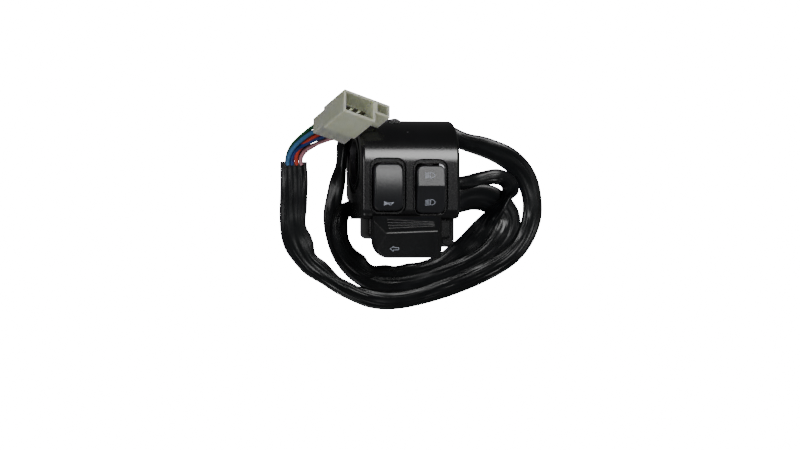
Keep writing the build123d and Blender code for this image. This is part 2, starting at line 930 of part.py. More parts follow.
def paddle_profile(inset, ridge_y):
    """Wedge section of the turn paddle, drawn in from its outside."""
    points = [
        (paddle_top_y - inset, paddle_rear_z - inset),
        (paddle_top_y - inset, paddle_top_z - inset),
        (ridge_y, paddle_ridge_z - inset * slope_stretch()),
        (paddle_bottom_y + inset, paddle_lip_z - inset),
        (paddle_bottom_y + inset, paddle_rear_z - inset),
    ]
    return make_face(Polyline(*points, close=True))


def slope_stretch():
    """How much further a wall reaches under the ridge than across a slope."""
    rise = paddle_ridge_z - paddle_top_z
    run = paddle_top_y - (paddle_left_ridge_y + paddle_right_ridge_y) / 2
    return math.hypot(rise, run) / run


def paddle_wedge(inset):
    """The wedge of the paddle, its ridge drawing nearer the face to the right."""
    left = paddle_left_x + inset
    right = paddle_right_x - inset
    first = Plane.YZ.offset(left) * paddle_profile(inset, paddle_left_ridge_y)
    last = Plane.YZ.offset(right) * paddle_profile(inset, paddle_right_ridge_y)
    return loft([first, last], ruled=True)


def paddle_facets(inset):
    """The space under the two sloping facets at the ends of the ridge."""
    low = paddle_rear_z - 2 * paddle_wall
    left = paddle_left_x + inset
    right = paddle_right_x - inset
    top = paddle_ridge_z - inset
    points = [
        (left, low),
        (left, top - paddle_left_facet_drop),
        (left + paddle_left_facet_reach, top),
        (right - paddle_right_facet_reach, top),
        (right, top - paddle_right_facet_drop),
        (right, low),
    ]
    face = make_face(Polyline(*points, close=True))
    depth = paddle_top_y - paddle_bottom_y + 2 * overrun
    return extrude(Plane.XZ.offset(-paddle_top_y - overrun) * face, depth)


def paddle_plan():
    """Outline of the paddle seen from the front."""
    left = paddle_left_x
    right = paddle_right_x
    knee_y = paddle_bottom_y + paddle_corner_drop
    foot_x = left + paddle_corner_reach
    foot = (foot_x, paddle_bottom_y)
    sweep_arc = TangentArc((left, knee_y), foot, tangent=(0, -1))
    lines = [
        Line((left, paddle_top_y), (left, knee_y)),
        sweep_arc,
        Line(foot, (right, paddle_bottom_y)),
        Line((right, paddle_bottom_y), (right, paddle_top_y)),
        Line((right, paddle_top_y), (left, paddle_top_y)),
    ]
    return make_face(lines)


def paddle_slope_place():
    """Middle and tilt of the upper slope of the paddle."""
    ridge_y = (paddle_left_ridge_y + paddle_right_ridge_y) / 2
    rise = paddle_ridge_z - paddle_top_z
    run = paddle_top_y - ridge_y
    tilt = math.degrees(math.atan2(rise, run))
    y = (paddle_top_y + ridge_y) / 2
    z = (paddle_top_z + paddle_ridge_z) / 2
    return y, z, tilt


def make_turn_paddle():
    """Wedge paddle with grip ribs, pin ears and a leg into the box."""
    body = paddle_wedge(0) & paddle_facets(0)
    body &= extrude(Pos(0, 0, paddle_rear_z - overrun) * paddle_plan(), paddle_ridge_z)
    ridge = body.edges().filter_by(lambda edge: edge.center().Z > paddle_ridge_z - paddle_edge_round)
    body = fillet(ridge, paddle_ridge_round)
    rim = body.edges().filter_by(on_lower_rim)
    body = fillet(rim, paddle_edge_round)
    hollow = paddle_wedge(paddle_wall) & paddle_facets(paddle_wall)
    reach = paddle_left_x + paddle_corner_reach
    hollow -= block(
        paddle_left_x,
        reach,
        paddle_bottom_y,
        paddle_bottom_y + paddle_corner_drop,
        paddle_rear_z - 2 * paddle_wall,
        paddle_ridge_z,
    )
    body -= hollow
    body += grip_ribs()
    for x in paddle_ear_places():
        body = cut_bracket_room(body, x)
        body += paddle_pin_ear(x)
    body += paddle_leg()
    hole = paddle_pin_radius + pin_clearance
    body -= bar_pin(
        paddle_left_x + paddle_ear_inset / 2,
        paddle_right_x - paddle_ear_inset / 2,
        paddle_pin_y,
        paddle_pin_z,
        hole,
    )
    return body - yz_prism(front_profile(-turn_gap), -half_length, half_length)


def on_lower_rim(edge):
    """Whether an edge is part of the paddle's lower front rim."""
    centre = edge.center()
    low = paddle_bottom_y + paddle_corner_drop
    return paddle_lip_z - overrun < centre.Z < paddle_ridge_z - paddle_wall and centre.Y < low


def grip_ribs():
    """Fine ribs on the upper slope that draw together to the right."""
    y, z, tilt = paddle_slope_place()
    middle_x = (paddle_left_x + paddle_left_facet_reach + paddle_right_x - paddle_right_facet_reach) / 2
    place = Pos(middle_x, y, z) * Rot(-tilt, 0, 0)
    ribs = []
    for index in range(grip_rib_count):
        step = index - (grip_rib_count - 1) / 2
        fan = Rot(0, 0, -step * grip_fan_degrees) * Pos(0, step * grip_rib_pitch, 0)
        rib = Rot(0, 90, 0) * Cylinder(grip_rib_radius, grip_rib_length)
        ribs.append(place * fan * rib)
    return ribs


def cut_bracket_room(body, x):
    """Clear the paddle round one bracket of the box."""
    room = block(
        x - turn_gap,
        x + paddle_ear_thickness + turn_gap,
        paddle_pin_y - 2 * paddle_ear_radius,
        paddle_pin_y + paddle_ear_radius + turn_gap,
        paddle_rear_z - 2 * paddle_wall,
        paddle_pin_z + paddle_ear_radius + turn_gap,
    )
    return body - room


def paddle_pin_ear(x):
    """Ear of the paddle on the outer side of one bracket."""
    left_side = x < (paddle_left_x + paddle_right_x) / 2
    if left_side:
        low = x - turn_gap - paddle_ear_thickness
    else:
        low = x + paddle_ear_thickness + turn_gap
    high = low + paddle_ear_thickness
    ear = bar_pin(low, high, paddle_pin_y, paddle_pin_z, paddle_ear_radius)
    top = paddle_top_z + paddle_wall / 2
    ear += block(
        low,
        high,
        paddle_pin_y - paddle_ear_radius,
        paddle_pin_y + paddle_ear_radius / 2,
        paddle_pin_z,
        top,
    )
    return ear


def paddle_leg():
    """Leg under the paddle's pin that moves the turn slider."""
    half = paddle_leg_width / 2
    side = paddle_leg_thickness / 2
    low = paddle_pin_z - paddle_leg_length
    left = paddle_leg_x - half
    right = paddle_leg_x + half
    low_y = paddle_pin_y - side
    high_y = paddle_pin_y + side
    return block(left, right, low_y, high_y, low, paddle_top_z + paddle_wall / 2)


def make_turn_pin():
    """Steel pin of the paddle, pressed in the two brackets."""
    return bar_pin(
        paddle_left_x + paddle_ear_inset,
        paddle_right_x - paddle_ear_inset,
        paddle_pin_y,
        paddle_pin_z,
        paddle_pin_radius,
    )


def turn_slider_limits():
    """Lowest and highest Y of the turn slider at rest."""
    low = turn_body_low_y + tray_wall + turn_slider_gap
    side = paddle_leg_thickness / 2 + turn_slider_gap + turn_slider_thickness
    return max(low, paddle_pin_y - side), paddle_pin_y + side


def turn_room():
    """Half width of the room in the turn switch body."""
    return turn_body_length / 2 - tray_wall


def make_turn_body():
    """Switch body under the paddle, standing on the lid of the rear half."""
    half = turn_body_length / 2
    left = paddle_leg_x - half
    right = paddle_leg_x + half
    low_z = lid_z + wall
    body = block(left, right, turn_body_low_y, turn_body_high_y, low_z, turn_body_top_z)
    room = turn_room()
    body -= block(
        paddle_leg_x - room,
        paddle_leg_x + room,
        turn_body_low_y + tray_wall,
        turn_body_high_y - tray_wall,
        turn_floor_z,
        turn_body_top_z + overrun,
    )
    for x in blade_places(paddle_leg_x):
        body -= blade(x, paddle_pin_y, low_z - overrun, turn_floor_z + overrun, pin_clearance)
    return body


def make_turn_slider():
    """Contact slider with the pocket that takes the paddle's leg."""
    low_y, high_y = turn_slider_limits()
    side = turn_room() - turn_slider_gap
    low_z = turn_floor_z + bridge_thickness + 2 * pin_clearance
    high_z = turn_slider_top_z
    slider = block(paddle_leg_x - side, paddle_leg_x + side, low_y, high_y, low_z, high_z)
    pocket_half = paddle_leg_width / 2 + turn_slider_gap
    pocket_side = paddle_leg_thickness / 2 + turn_slider_gap
    pocket_low = paddle_pin_z - paddle_leg_length - turn_gap
    slider -= block(
        paddle_leg_x - pocket_half,
        paddle_leg_x + pocket_half,
        paddle_pin_y - pocket_side,
        paddle_pin_y + pocket_side,
        pocket_low,
        high_z + overrun,
    )
    return slider


def make_turn_contact():
    """Contact plate under the turn slider."""
    low_y, high_y = turn_slider_limits()
    low_z = turn_floor_z + pin_clearance
    side = turn_room() - 2 * turn_slider_gap
    high_z = low_z + bridge_thickness
    return block(paddle_leg_x - side, paddle_leg_x + side, low_y, high_y, low_z, high_z)


def make_turn_spring():
    """Return spring between the turn slider and the end of its body."""
    low = turn_slider_limits()[1] + spring_gap
    high = turn_body_high_y - tray_wall - spring_gap
    middle_z = (turn_floor_z + turn_slider_top_z) / 2
    radius = 2 * spring_wire_radius + 2 * fine_wire_radius
    coil = coil_spring(0, 0, low, high, radius, fine_spring_turns, fine_wire_radius)
    return Pos(paddle_leg_x, 0, middle_z) * Rot(-90, 0, 0) * coil


def make_turn_blades():
    """Blades through the floor of the turn switch body."""
    low = turn_floor_z - blade_tail
    return [blade(x, paddle_pin_y, low, turn_floor_z, 0) for x in blade_places(paddle_leg_x)]


def make_cable_grommet():
    """Rubber grommet round the sleeve where it leaves the casing."""
    outer = half_length + grommet_nose_length
    inner = half_length - end_wall
    body = bar_pin(inner, outer, exit_y, exit_z, grommet_radius)
    body += bar_pin(
        half_length,
        half_length + grommet_flange_thickness,
        exit_y,
        exit_z,
        grommet_flange_radius,
    )
    hole = sleeve_radius + grommet_clearance
    body -= bar_pin(
        inner - overrun,
        outer + overrun,
        exit_y,
        exit_z,
        hole,
    )
    return body


def route_path(points):
    """A path of straight runs with the largest arcs that the runs allow."""
    places = [Vector(*point) for point in points]
    radii = []
    for index in range(1, len(places) - 1):
        before = places[index] - places[index - 1]
        after = places[index + 1] - places[index]
        half_turn = math.radians(before.get_angle(after)) / 2
        shorter = min(before.length, after.length)
        radii.append(0.45 * shorter / math.tan(half_turn))
    return FilletPolyline(*places, radius=radii), radii


def route_tube(points, diameter, label):
    """A round tube along a route, with its radii printed."""
    path, radii = route_path(points)
    section = Plane(origin=path @ 0, z_dir=path % 0) * Circle(diameter / 2)
    tube = sweep(section, path=path)
    ideal = math.pi * (diameter / 2) ** 2 * path.length
    if label:
        rounded = [round(value, 1) for value in radii]
        print(label, "length", round(path.length, 1), "least radius", round(min(radii), 1))
        print(label, "radii", rounded)
        print(label, "volume over section times length", round(tube.volume / ideal, 5))
    return tube


def plug_plane():
    """Plane of the plug's mouth: X across it, Y up its height, Z out of it."""
    return Plane(origin=plug_corner, x_dir=plug_across, z_dir=plug_forward)


def plug_point(across, down, back):
    """A place on the plug, from its nearest mouth corner."""
    frame = plug_plane()
    down_dir = frame.y_dir * -1
    across_part = frame.x_dir * across
    return plug_corner + across_part + down_dir * down - frame.z_dir * back


def plug_block(across_low, across_high, down_low, down_high, back_low, back_high):
    """A block in the plug's own directions, in its local frame."""
    return block(across_low, across_high, -down_high, -down_low, -back_high, -back_low)


def plug_cells():
    """Places of the plug's cells, across and down."""
    cells = []
    for row in range(wire_rows):
        for column in range(wire_columns):
            across = plug_width / 2 + (column - (wire_columns - 1) / 2) * plug_column_pitch
            down = plug_height / 2 + (row - (wire_rows - 1) / 2) * plug_row_pitch
            cells.append((across, down))
    return cells


def make_plug_housing():
    """Nylon housing: hood with a deep mouth, stepped tail and side sleeve."""
    total = plug_hood_length + plug_tail_length
    hood = plug_block(0, plug_width, 0, plug_height, 0, plug_hood_length)
    hood = fillet(hood.edges().filter_by(Axis.Z), plug_corner_radius)
    step = plug_tail_step
    tail = plug_block(0, plug_width, step, plug_height - step, plug_hood_length, total)
    body = hood + tail
    w = plug_wall
    body -= plug_block(w, plug_width - w, w, plug_height - w, -overrun, plug_mouth_depth)
    for across, down in plug_cells():
        half = cell_width / 2 - cell_clearance
        side = cell_height / 2 - cell_clearance
        low = plug_mouth_depth - overrun
        body -= plug_block(across - half, across + half, down - side, down + side, low, total + overrun)
    latch = plug_block(plug_width - w / 2, plug_width + latch_reach, 0, latch_height, 0, latch_length)
    slot = plug_block(
        plug_width + latch_wall,
        plug_width + latch_reach - latch_wall,
        latch_wall,
        latch_height - latch_wall,
        -overrun,
        latch_length + overrun,
    )
    body += latch - slot
    return plug_plane().location * body


def make_plug_terminals():
    """One terminal in each cell: blade in the mouth, barrel round its wire."""
    terminals = []
    total = plug_hood_length + plug_tail_length
    for across, down in plug_cells():
        half = pin_blade_width / 2
        side = pin_blade_thickness / 2
        tip = plug_mouth_depth - pin_blade_length
        low = plug_mouth_depth + overrun
        pin = plug_block(across - half, across + half, down - side, down + side, tip, low)
        box_half = cell_width / 2 - cell_clearance - pin_clearance
        box_side = cell_height / 2 - cell_clearance - pin_clearance
        back = total - wire_entry - pin_clearance
        pin += plug_block(
            across - box_half,
            across + box_half,
            down - box_side,
            down + box_side,
            low,
            back,
        )
        terminals.append(plug_plane().location * pin)
    return terminals


def wire_starts():
    """Places of the wires in the open end of the sleeve."""
    end_x, end_y, end_z = sleeve_route[-1]
    starts = []
    for row in range(wire_rows):
        for column in range(wire_columns):
            x = end_x + (column - (wire_columns - 1) / 2) * wire_pitch
            z = end_z + (row - (wire_rows - 1) / 2) * wire_pitch
            starts.append((x, end_y + seam_gap, z))
    return starts


def make_wires():
    """Eight wires from the sleeve into the tail of the plug."""
    wires = []
    total = plug_hood_length + plug_tail_length
    for index, (across, down) in enumerate(plug_cells()):
        x, y, z = wire_starts()[index]
        row = index // wire_columns
        lead_in = wire_lead_in - row * wire_pitch
        rise = wire_rise + index % wire_columns * wire_rise_step
        end = plug_point(across, down, total - wire_entry)
        before = plug_point(across, down, total + rise)
        points = [
            (x, y, z),
            (x, y + lead_in, z + wire_diameter * 0.4),
            tuple(before),
            tuple(end),
        ]
        wires.append(route_tube(points, wire_diameter, "" if index else "wire"))
    return wires


wire_names = [
    "wire_green",
    "wire_red",
    "wire_maroon",
    "wire_black",
    "wire_light_blue",
    "wire_dark_blue",
    "wire_orange",
    "wire_rose",
]


def write(name, shape):
    """Write one node, a shape or a list of separate solids."""
    whole = Compound(children=shape) if isinstance(shape, list) else shape
    export_step(whole, f"parts/{name}.step")


def main():
    """Build every piece and write it."""
    os.makedirs("parts", exist_ok=True)
    write("front_casing", make_front_casing())
    write("rear_casing", make_rear_casing())
    write("casing_screws", make_casing_screws())
    write("horn_button", make_horn_button())
    write("horn_plunger", make_horn_plunger())
    write("horn_contact_bridge", make_horn_bridge())
    write("horn_cup", make_horn_cup())
    write("horn_spring", make_horn_spring())
    write("horn_blades", make_horn_blades())
    write("switch_screws", make_switch_screws())
    write("dimmer_rocker", make_dimmer_rocker())
    write("dimmer_pivot_pin", make_dimmer_pin())
    write("dimmer_detent_ball", make_detent_ball())
    write("dimmer_detent_spring", make_detent_spring())
    write("dimmer_tray", make_dimmer_tray())
    write("dimmer_slider", make_dimmer_slider())
    write("dimmer_contact", make_dimmer_contact())
    write("dimmer_blades", make_dimmer_blades())
    write("turn_paddle", make_turn_paddle())
    write("turn_pivot_pin", make_turn_pin())
    write("turn_body", make_turn_body())
    write("turn_slider", make_turn_slider())
    write("turn_contact", make_turn_contact())
    write("turn_spring", make_turn_spring())
    write("turn_blades", make_turn_blades())
    write("cable_grommet", make_cable_grommet())
    write("cable_sleeve", route_tube(sleeve_route, sleeve_diameter, "sleeve"))
    write("plug_housing", make_plug_housing())
    write("plug_terminals", make_plug_terminals())
    for name, wire in zip(wire_names, make_wires()):
        write(name, wire)


main()
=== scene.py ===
"""Dressed model of a handlebar switch cluster on its back, with its sleeved lead coiled round it.

Lengths are metres in the CAD model's frame: X along the bar, Y across the face, Z out of it.
"""

import json
import logging
import math
from dataclasses import dataclass
from enum import Enum
from typing import Sequence, Union

import bpy
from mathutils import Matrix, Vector, noise
from mathutils.bvhtree import BVHTree


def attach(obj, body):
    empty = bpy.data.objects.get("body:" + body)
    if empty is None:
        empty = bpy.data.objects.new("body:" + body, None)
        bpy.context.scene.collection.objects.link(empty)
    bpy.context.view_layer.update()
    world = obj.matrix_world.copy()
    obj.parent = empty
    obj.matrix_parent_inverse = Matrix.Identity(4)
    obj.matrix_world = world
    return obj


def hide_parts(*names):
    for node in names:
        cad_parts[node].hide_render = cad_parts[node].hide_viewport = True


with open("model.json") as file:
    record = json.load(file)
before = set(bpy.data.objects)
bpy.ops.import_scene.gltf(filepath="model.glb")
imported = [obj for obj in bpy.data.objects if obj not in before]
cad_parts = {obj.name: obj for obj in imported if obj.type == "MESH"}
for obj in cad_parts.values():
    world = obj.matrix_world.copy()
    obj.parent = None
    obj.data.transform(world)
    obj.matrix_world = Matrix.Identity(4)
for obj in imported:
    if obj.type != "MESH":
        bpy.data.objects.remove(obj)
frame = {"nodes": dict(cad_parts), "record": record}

log = logging.getLogger("switch_cluster")

MM = 0.001
FLOOR_Z = -0.0206
Colour = tuple[float, float, float]
Point = tuple[float, float, float]


# Shader expressions


class Signal:
    """One output socket of a material, used in Python expressions."""

    def __init__(self, shader: "Shader", socket: bpy.types.NodeSocket) -> None:
        """Keeps the socket and the shader it belongs to."""
        self.shader = shader
        self.socket = socket

    def _math(self, operation: str, first: "Term", second: "Term") -> "Signal":
        """Adds one Math node."""
        return self.shader.signal("ShaderNodeMath", {"operation": operation}, {0: first, 1: second})

    def __add__(self, other: "Term") -> "Signal":
        """Sum."""
        return self._math("ADD", self, other)

    def __radd__(self, other: "Term") -> "Signal":
        """Sum with a number in front."""
        return self._math("ADD", other, self)

    def __sub__(self, other: "Term") -> "Signal":
        """Difference."""
        return self._math("SUBTRACT", self, other)

    def __rsub__(self, other: "Term") -> "Signal":
        """Difference with a number in front."""
        return self._math("SUBTRACT", other, self)

    def __mul__(self, other: "Term") -> "Signal":
        """Product."""
        return self._math("MULTIPLY", self, other)

    def __rmul__(self, other: "Term") -> "Signal":
        """Product with a number in front."""
        return self._math("MULTIPLY", other, self)

    def ramp(self, low: float, high: float) -> "Signal":
        """Smooth step from 0 at low to 1 at high.

        Args:
            low: value that gives 0.
            high: value that gives 1.

        Returns:
            The stepped signal.
        """
        settings = {"interpolation_type": "SMOOTHSTEP"}
        inputs = {0: self, 1: low, 2: high, 3: 0.0, 4: 1.0}
        return self.shader.signal("ShaderNodeMapRange", settings, inputs)


Term = Union[Signal, float]


class Shader:
    """Node material with one Principled surface."""

    def __init__(self, name: str) -> None:
        """Makes an empty material with a Principled surface.

        Args:
            name: name of the material.
        """
        self.material = bpy.data.materials.new(name)
        self.material.use_nodes = True
        self.tree = self.material.node_tree
        self.tree.nodes.clear()
        self.surface = self.node("ShaderNodeBsdfPrincipled", {}, {})
        self.output = self.node("ShaderNodeOutputMaterial", {}, {})
        self.tree.links.new(self.surface.outputs[0], self.output.inputs["Surface"])

    def node(self, kind: str, settings: dict, inputs: dict) -> bpy.types.Node:
        """Adds a node.

        Args:
            kind: Blender's node type.
            settings: properties of the node, set first.
            inputs: socket name or index to a number, a colour or a Signal.

        Returns:
            The new node.
        """
        node = self.tree.nodes.new(kind)
        for key, value in settings.items():
            setattr(node, key, value)
        for key, value in inputs.items():
            self.feed(node.inputs[key], value)
        return node

    def feed(self, socket: bpy.types.NodeSocket, value: object) -> None:
        """Links a Signal to a socket, or sets its value."""
        if isinstance(value, Signal):
            self.tree.links.new(value.socket, socket)
        elif isinstance(value, tuple) and len(value) == 3 and socket.type == "RGBA":
            socket.default_value = (*value, 1.0)
        else:
            socket.default_value = value

    def signal(self, kind: str, settings: dict, inputs: dict, output: object = 0) -> Signal:
        """Adds a node and gives one of its outputs as a Signal."""
        return Signal(self, self.node(kind, settings, inputs).outputs[output])

    def set(self, **values: object) -> None:
        """Sets or links sockets of the surface; an underscore in a key stands for a space."""
        for key, value in values.items():
            self.feed(self.surface.inputs[key.replace("_", " ")], value)

    def place(self) -> Signal:
        """Object coordinates, in metres."""
        return self.signal("ShaderNodeTexCoord", {}, {}, "Object")

    def noise(self, where: Signal, scale: float, detail: float = 3.0, rough: float = 0.5) -> Signal:
        """Fractal noise from 0 to 1.

        Args:
            where: coordinates.
            scale: features per metre.
            detail: octaves.
            rough: strength of the finer octaves.

        Returns:
            The noise value.
        """
        inputs = {"Vector": where, "Scale": scale, "Detail": detail, "Roughness": rough}
        return self.signal("ShaderNodeTexNoise", {}, inputs, "Fac")

    def stretch(self, where: Signal, scale: Point) -> Signal:
        """Coordinates scaled along each axis."""
        return self.signal("ShaderNodeVectorMath", {"operation": "MULTIPLY"}, {0: where, 1: scale})

    def blend(self, share: Term, first: object, second: object) -> Signal:
        """Mix of two colours."""
        settings = {"data_type": "RGBA"}
        return self.signal("ShaderNodeMix", settings, {0: share, 6: first, 7: second}, 2)

    def bump(self, height: Signal, distance: float, strength: float = 1.0) -> None:
        """Feeds a height to the surface's normal.

        Args:
            height: signal from 0 to 1.
            distance: depth in metres that 1 stands for.
            strength: share of the effect.
        """
        inputs = {"Height": height, "Distance": distance, "Strength": strength}
        self.set(Normal=self.signal("ShaderNodeBump", {}, inputs, "Normal"))


# Finishes


@dataclass(frozen=True)
class SatinPaint:
    """Satin black paint over a cast alloy housing, bare inside the handlebar bore."""

    name: str = "satin_black_paint"
    colour: Colour = (0.0040, 0.0041, 0.0048)
    worn: Colour = (0.0085, 0.0086, 0.0096)
    dust: Colour = (0.16, 0.16, 0.17)
    alloy: Colour = (0.20, 0.20, 0.21)
    roughness: float = 0.18
    bore_radius: float = 0.01122
    bore_edge: float = 0.00006
    cloud_scale: float = 60.0
    fine_scale: float = 900.0
    speck_scale: float = 300.0
    speck_range: tuple[float, float] = (0.86, 0.90)
    speck_share: float = 0.6
    peel_scale: float = 1500.0
    peel_depth: float = 0.05 * MM
    coat: float = 0.2
    coat_roughness: float = 0.14

    def build(self) -> bpy.types.Material:
        """Makes the material."""
        shader = Shader(self.name)
        place = shader.place()
        cloud = shader.noise(place, self.cloud_scale, 4.0)
        fine = shader.noise(place, self.fine_scale, 3.0)
        speck = shader.noise(place, self.speck_scale, 0.0).ramp(*self.speck_range)
        flat = shader.stretch(place, (0.0, 1.0, 1.0))
        radius = shader.signal("ShaderNodeVectorMath", {"operation": "LENGTH"}, {0: flat}, 1)
        bare = 1.0 - radius.ramp(self.bore_radius, self.bore_radius + self.bore_edge)
        base = shader.blend(cloud.ramp(0.35, 0.8), self.colour, self.worn)
        dusty = shader.blend(speck * self.speck_share, base, self.dust)
        shader.set(
            Base_Color=shader.blend(bare, dusty, self.alloy),
            Metallic=bare,
            Roughness=self.roughness + cloud * 0.05 + fine * 0.04 + bare * 0.14,
            IOR=1.5,
            Coat_Weight=self.coat,
            Coat_Roughness=self.coat_roughness,
        )
        peel = shader.noise(place, self.peel_scale, 2.0)
        shader.bump(peel + fine * 0.6, self.peel_depth, 0.35)
        return shader.material


@dataclass(frozen=True)
class GrainedPlastic:
    """Fine spark-grained moulded plastic."""

    name: str
    colour: Colour
    shade: Colour
    roughness: float = 0.40
    grain: float = 2600.0
    depth: float = 0.05 * MM
    cloud_scale: float = 90.0

    def build(self) -> bpy.types.Material:
        """Makes the material."""
        shader = Shader(self.name)
        place = shader.place()
        cloud = shader.noise(place, self.cloud_scale, 4.0)
        grain = shader.noise(place, self.grain, 2.0)
        shader.set(
            Base_Color=shader.blend(cloud.ramp(0.3, 0.75), self.colour, self.shade),
            Roughness=self.roughness + grain * 0.08 + cloud * 0.05,
            IOR=1.5,
        )
        shader.bump(grain, self.depth, 0.5)
        return shader.material


@dataclass(frozen=True)
class SoftVinyl:
    """Glossy black vinyl sleeve with faint drawn lines along its length."""

    name: str = "soft_black_vinyl"
    colour: Colour = (0.0038, 0.0044, 0.0054)
    pale: Colour = (0.0085, 0.0095, 0.011)
    roughness: float = 0.22
    streak_scale: Point = (30.0, 50.0, 1.0)
    cloud_scale: float = 110.0
    crumple_scale: float = 300.0
    crumple_depth: float = 0.22 * MM

    def build(self) -> bpy.types.Material:
        """Makes the material."""
        shader = Shader(self.name)
        along = shader.signal("ShaderNodeUVMap", {"uv_map": "along"}, {}, "UV")
        place = shader.place()
        streak = shader.noise(shader.stretch(along, self.streak_scale), 1.0)
        cloud = shader.noise(place, self.cloud_scale)
        shader.set(
            Base_Color=shader.blend((streak * cloud).ramp(0.25, 0.5), self.colour, self.pale),
            Roughness=self.roughness + streak * 0.06 + cloud * 0.07,
            IOR=1.42,
        )
        crumple = shader.noise(place, self.crumple_scale, 2.0)
        shader.bump(streak * 0.6 + crumple * 0.3, self.crumple_depth, 0.4)
        return shader.material


@dataclass(frozen=True)
class MilkyNylon:
    """Unpigmented nylon moulding that lets light through its walls."""

    name: str = "milky_nylon"
    colour: Colour = (0.76, 0.80, 0.66)
    warm: Colour = (0.69, 0.72, 0.54)
    roughness: float = 0.36
    cloud_scale: float = 90.0
    grain_scale: float = 1200.0
    grain_depth: float = 0.04 * MM
    glow: float = 0.9
    glow_reach: float = 2.6 * MM
    glow_tint: Colour = (1.0, 1.0, 0.8)

    def build(self) -> bpy.types.Material:
        """Makes the material."""
        shader = Shader(self.name)
        place = shader.place()
        cloud = shader.noise(place, self.cloud_scale)
        fine = shader.noise(place, self.grain_scale, 2.0)
        shader.set(
            Base_Color=shader.blend(cloud.ramp(0.3, 0.75), self.colour, self.warm),
            Roughness=self.roughness + fine * 0.12,
            IOR=1.53,
            Subsurface_Weight=self.glow,
            Subsurface_Radius=self.glow_tint,
            Subsurface_Scale=self.glow_reach,
        )
        shader.bump(fine, self.grain_depth, 0.4)
        return shader.material


@dataclass(frozen=True)
class WireSkin:
    """Coloured insulation of one wire."""

    name: str
    colour: Colour
    roughness: float = 0.34
    shade: float = 0.62
    cloud_scale: float = 300.0
    depth: float = 0.05 * MM
    glow: float = 0.05
    glow_reach: float = 0.4 * MM

    def build(self) -> bpy.types.Material:
        """Makes the material."""
        shader = Shader(self.name)
        place = shader.place()
        cloud = shader.noise(place, self.cloud_scale)
        deep = tuple(self.shade * value for value in self.colour)
        shader.set(
            Base_Color=shader.blend(cloud.ramp(0.35, 0.8), self.colour, deep),
            Roughness=self.roughness + cloud * 0.16,
            IOR=1.5,
            Subsurface_Weight=self.glow,
            Subsurface_Scale=self.glow_reach,
        )
        shader.bump(cloud, self.depth, 0.4)
        return shader.material


@dataclass(frozen=True)
class BareMetal:
    """Plated or drawn metal with fine scratches."""

    name: str
    colour: Colour
    shade: Colour
    roughness: float = 0.3
    brush_scale: Point = (300.0, 300.0, 4000.0)
    brush_depth: float = 0.02 * MM
    cloud_scale: float = 200.0

    def build(self) -> bpy.types.Material:
        """Makes the material."""
        shader = Shader(self.name)
        place = shader.place()
        brush = shader.noise(shader.stretch(place, self.brush_scale), 1.0)
        cloud = shader.noise(place, self.cloud_scale)
        shader.set(
            Base_Color=shader.blend(cloud.ramp(0.3, 0.8), self.colour, self.shade),
            Metallic=1.0,
            Roughness=self.roughness + brush * 0.15,
        )
        shader.bump(brush, self.brush_depth, 0.4)
        return shader.material


@dataclass(frozen=True)
class PadInk:
    """Pale printed ink of the signs."""

    name: str = "pale_ink"
    colour: Colour = (0.40, 0.43, 0.50)
    thin: Colour = (0.22, 0.24, 0.29)
    roughness: float = 0.5
    cover_scale: float = 2200.0

    def build(self) -> bpy.types.Material:
        """Makes the material."""
        shader = Shader(self.name)
        cover = shader.noise(shader.place(), self.cover_scale, 2.0)
        shader.set(
            Base_Color=shader.blend(cover.ramp(0.45, 0.8), self.colour, self.thin),
            Roughness=self.roughness + cover * 0.1,
        )
        return shader.material


class Finish(Enum):
    """Finishes of the cluster's pieces."""

    PAINT = SatinPaint()
    BUTTON = GrainedPlastic(
        "dark_button_plastic", (0.0125, 0.0133, 0.0158), (0.009, 0.0096, 0.0115), 0.27
    )
    PADDLE = GrainedPlastic(
        "black_paddle_plastic", (0.0052, 0.0054, 0.0062), (0.0075, 0.0078, 0.009), 0.25
    )
    INNER = GrainedPlastic("inner_moulding", (0.06, 0.06, 0.055), (0.04, 0.04, 0.036), 0.5)
    RUBBER = GrainedPlastic(
        "grommet_rubber", (0.006, 0.006, 0.006), (0.011, 0.011, 0.011), 0.62, 1800.0
    )
    VINYL = SoftVinyl()
    NYLON = MilkyNylon()
    STEEL = BareMetal("zinc_plated_steel", (0.56, 0.56, 0.57), (0.42, 0.42, 0.43), 0.3)
    BRASS = BareMetal("stamped_brass", (0.70, 0.52, 0.26), (0.52, 0.38, 0.18), 0.32)
    TIN = BareMetal("tinned_terminals", (0.22, 0.21, 0.18), (0.10, 0.10, 0.08), 0.38)
    INK = PadInk()
    LIGHT_BLUE = WireSkin("light_blue_insulation", (0.075, 0.24, 0.50))
    DARK_BLUE = WireSkin("dark_blue_insulation", (0.018, 0.052, 0.235))
    RED = WireSkin("red_insulation", (0.40, 0.07, 0.06))
    ORANGE = WireSkin("orange_insulation", (0.72, 0.065, 0.035))
    ROSE = WireSkin("rose_insulation", (0.62, 0.30, 0.35))
    MAROON = WireSkin("maroon_insulation", (0.14, 0.018, 0.022))
    BLACK = WireSkin("black_insulation", (0.008, 0.008, 0.008))
    GREEN = WireSkin("green_insulation", (0.02, 0.15, 0.05))


class Paintbox:
    """Builds each finish once."""

    def __init__(self) -> None:
        """Starts empty."""
        self._built: dict[Finish, bpy.types.Material] = {}

    def get(self, finish: Finish) -> bpy.types.Material:
        """Gives the material of a finish, made at its first use."""
        if finish not in self._built:
            self._built[finish] = finish.value.build()
        return self._built[finish]

    def dress(self, thing: bpy.types.Object, finish: Finish) -> None:
        """Gives an object one finish all over."""
        thing.data.materials.clear()
        thing.data.materials.append(self.get(finish))


paints = Paintbox()


# Mesh helpers


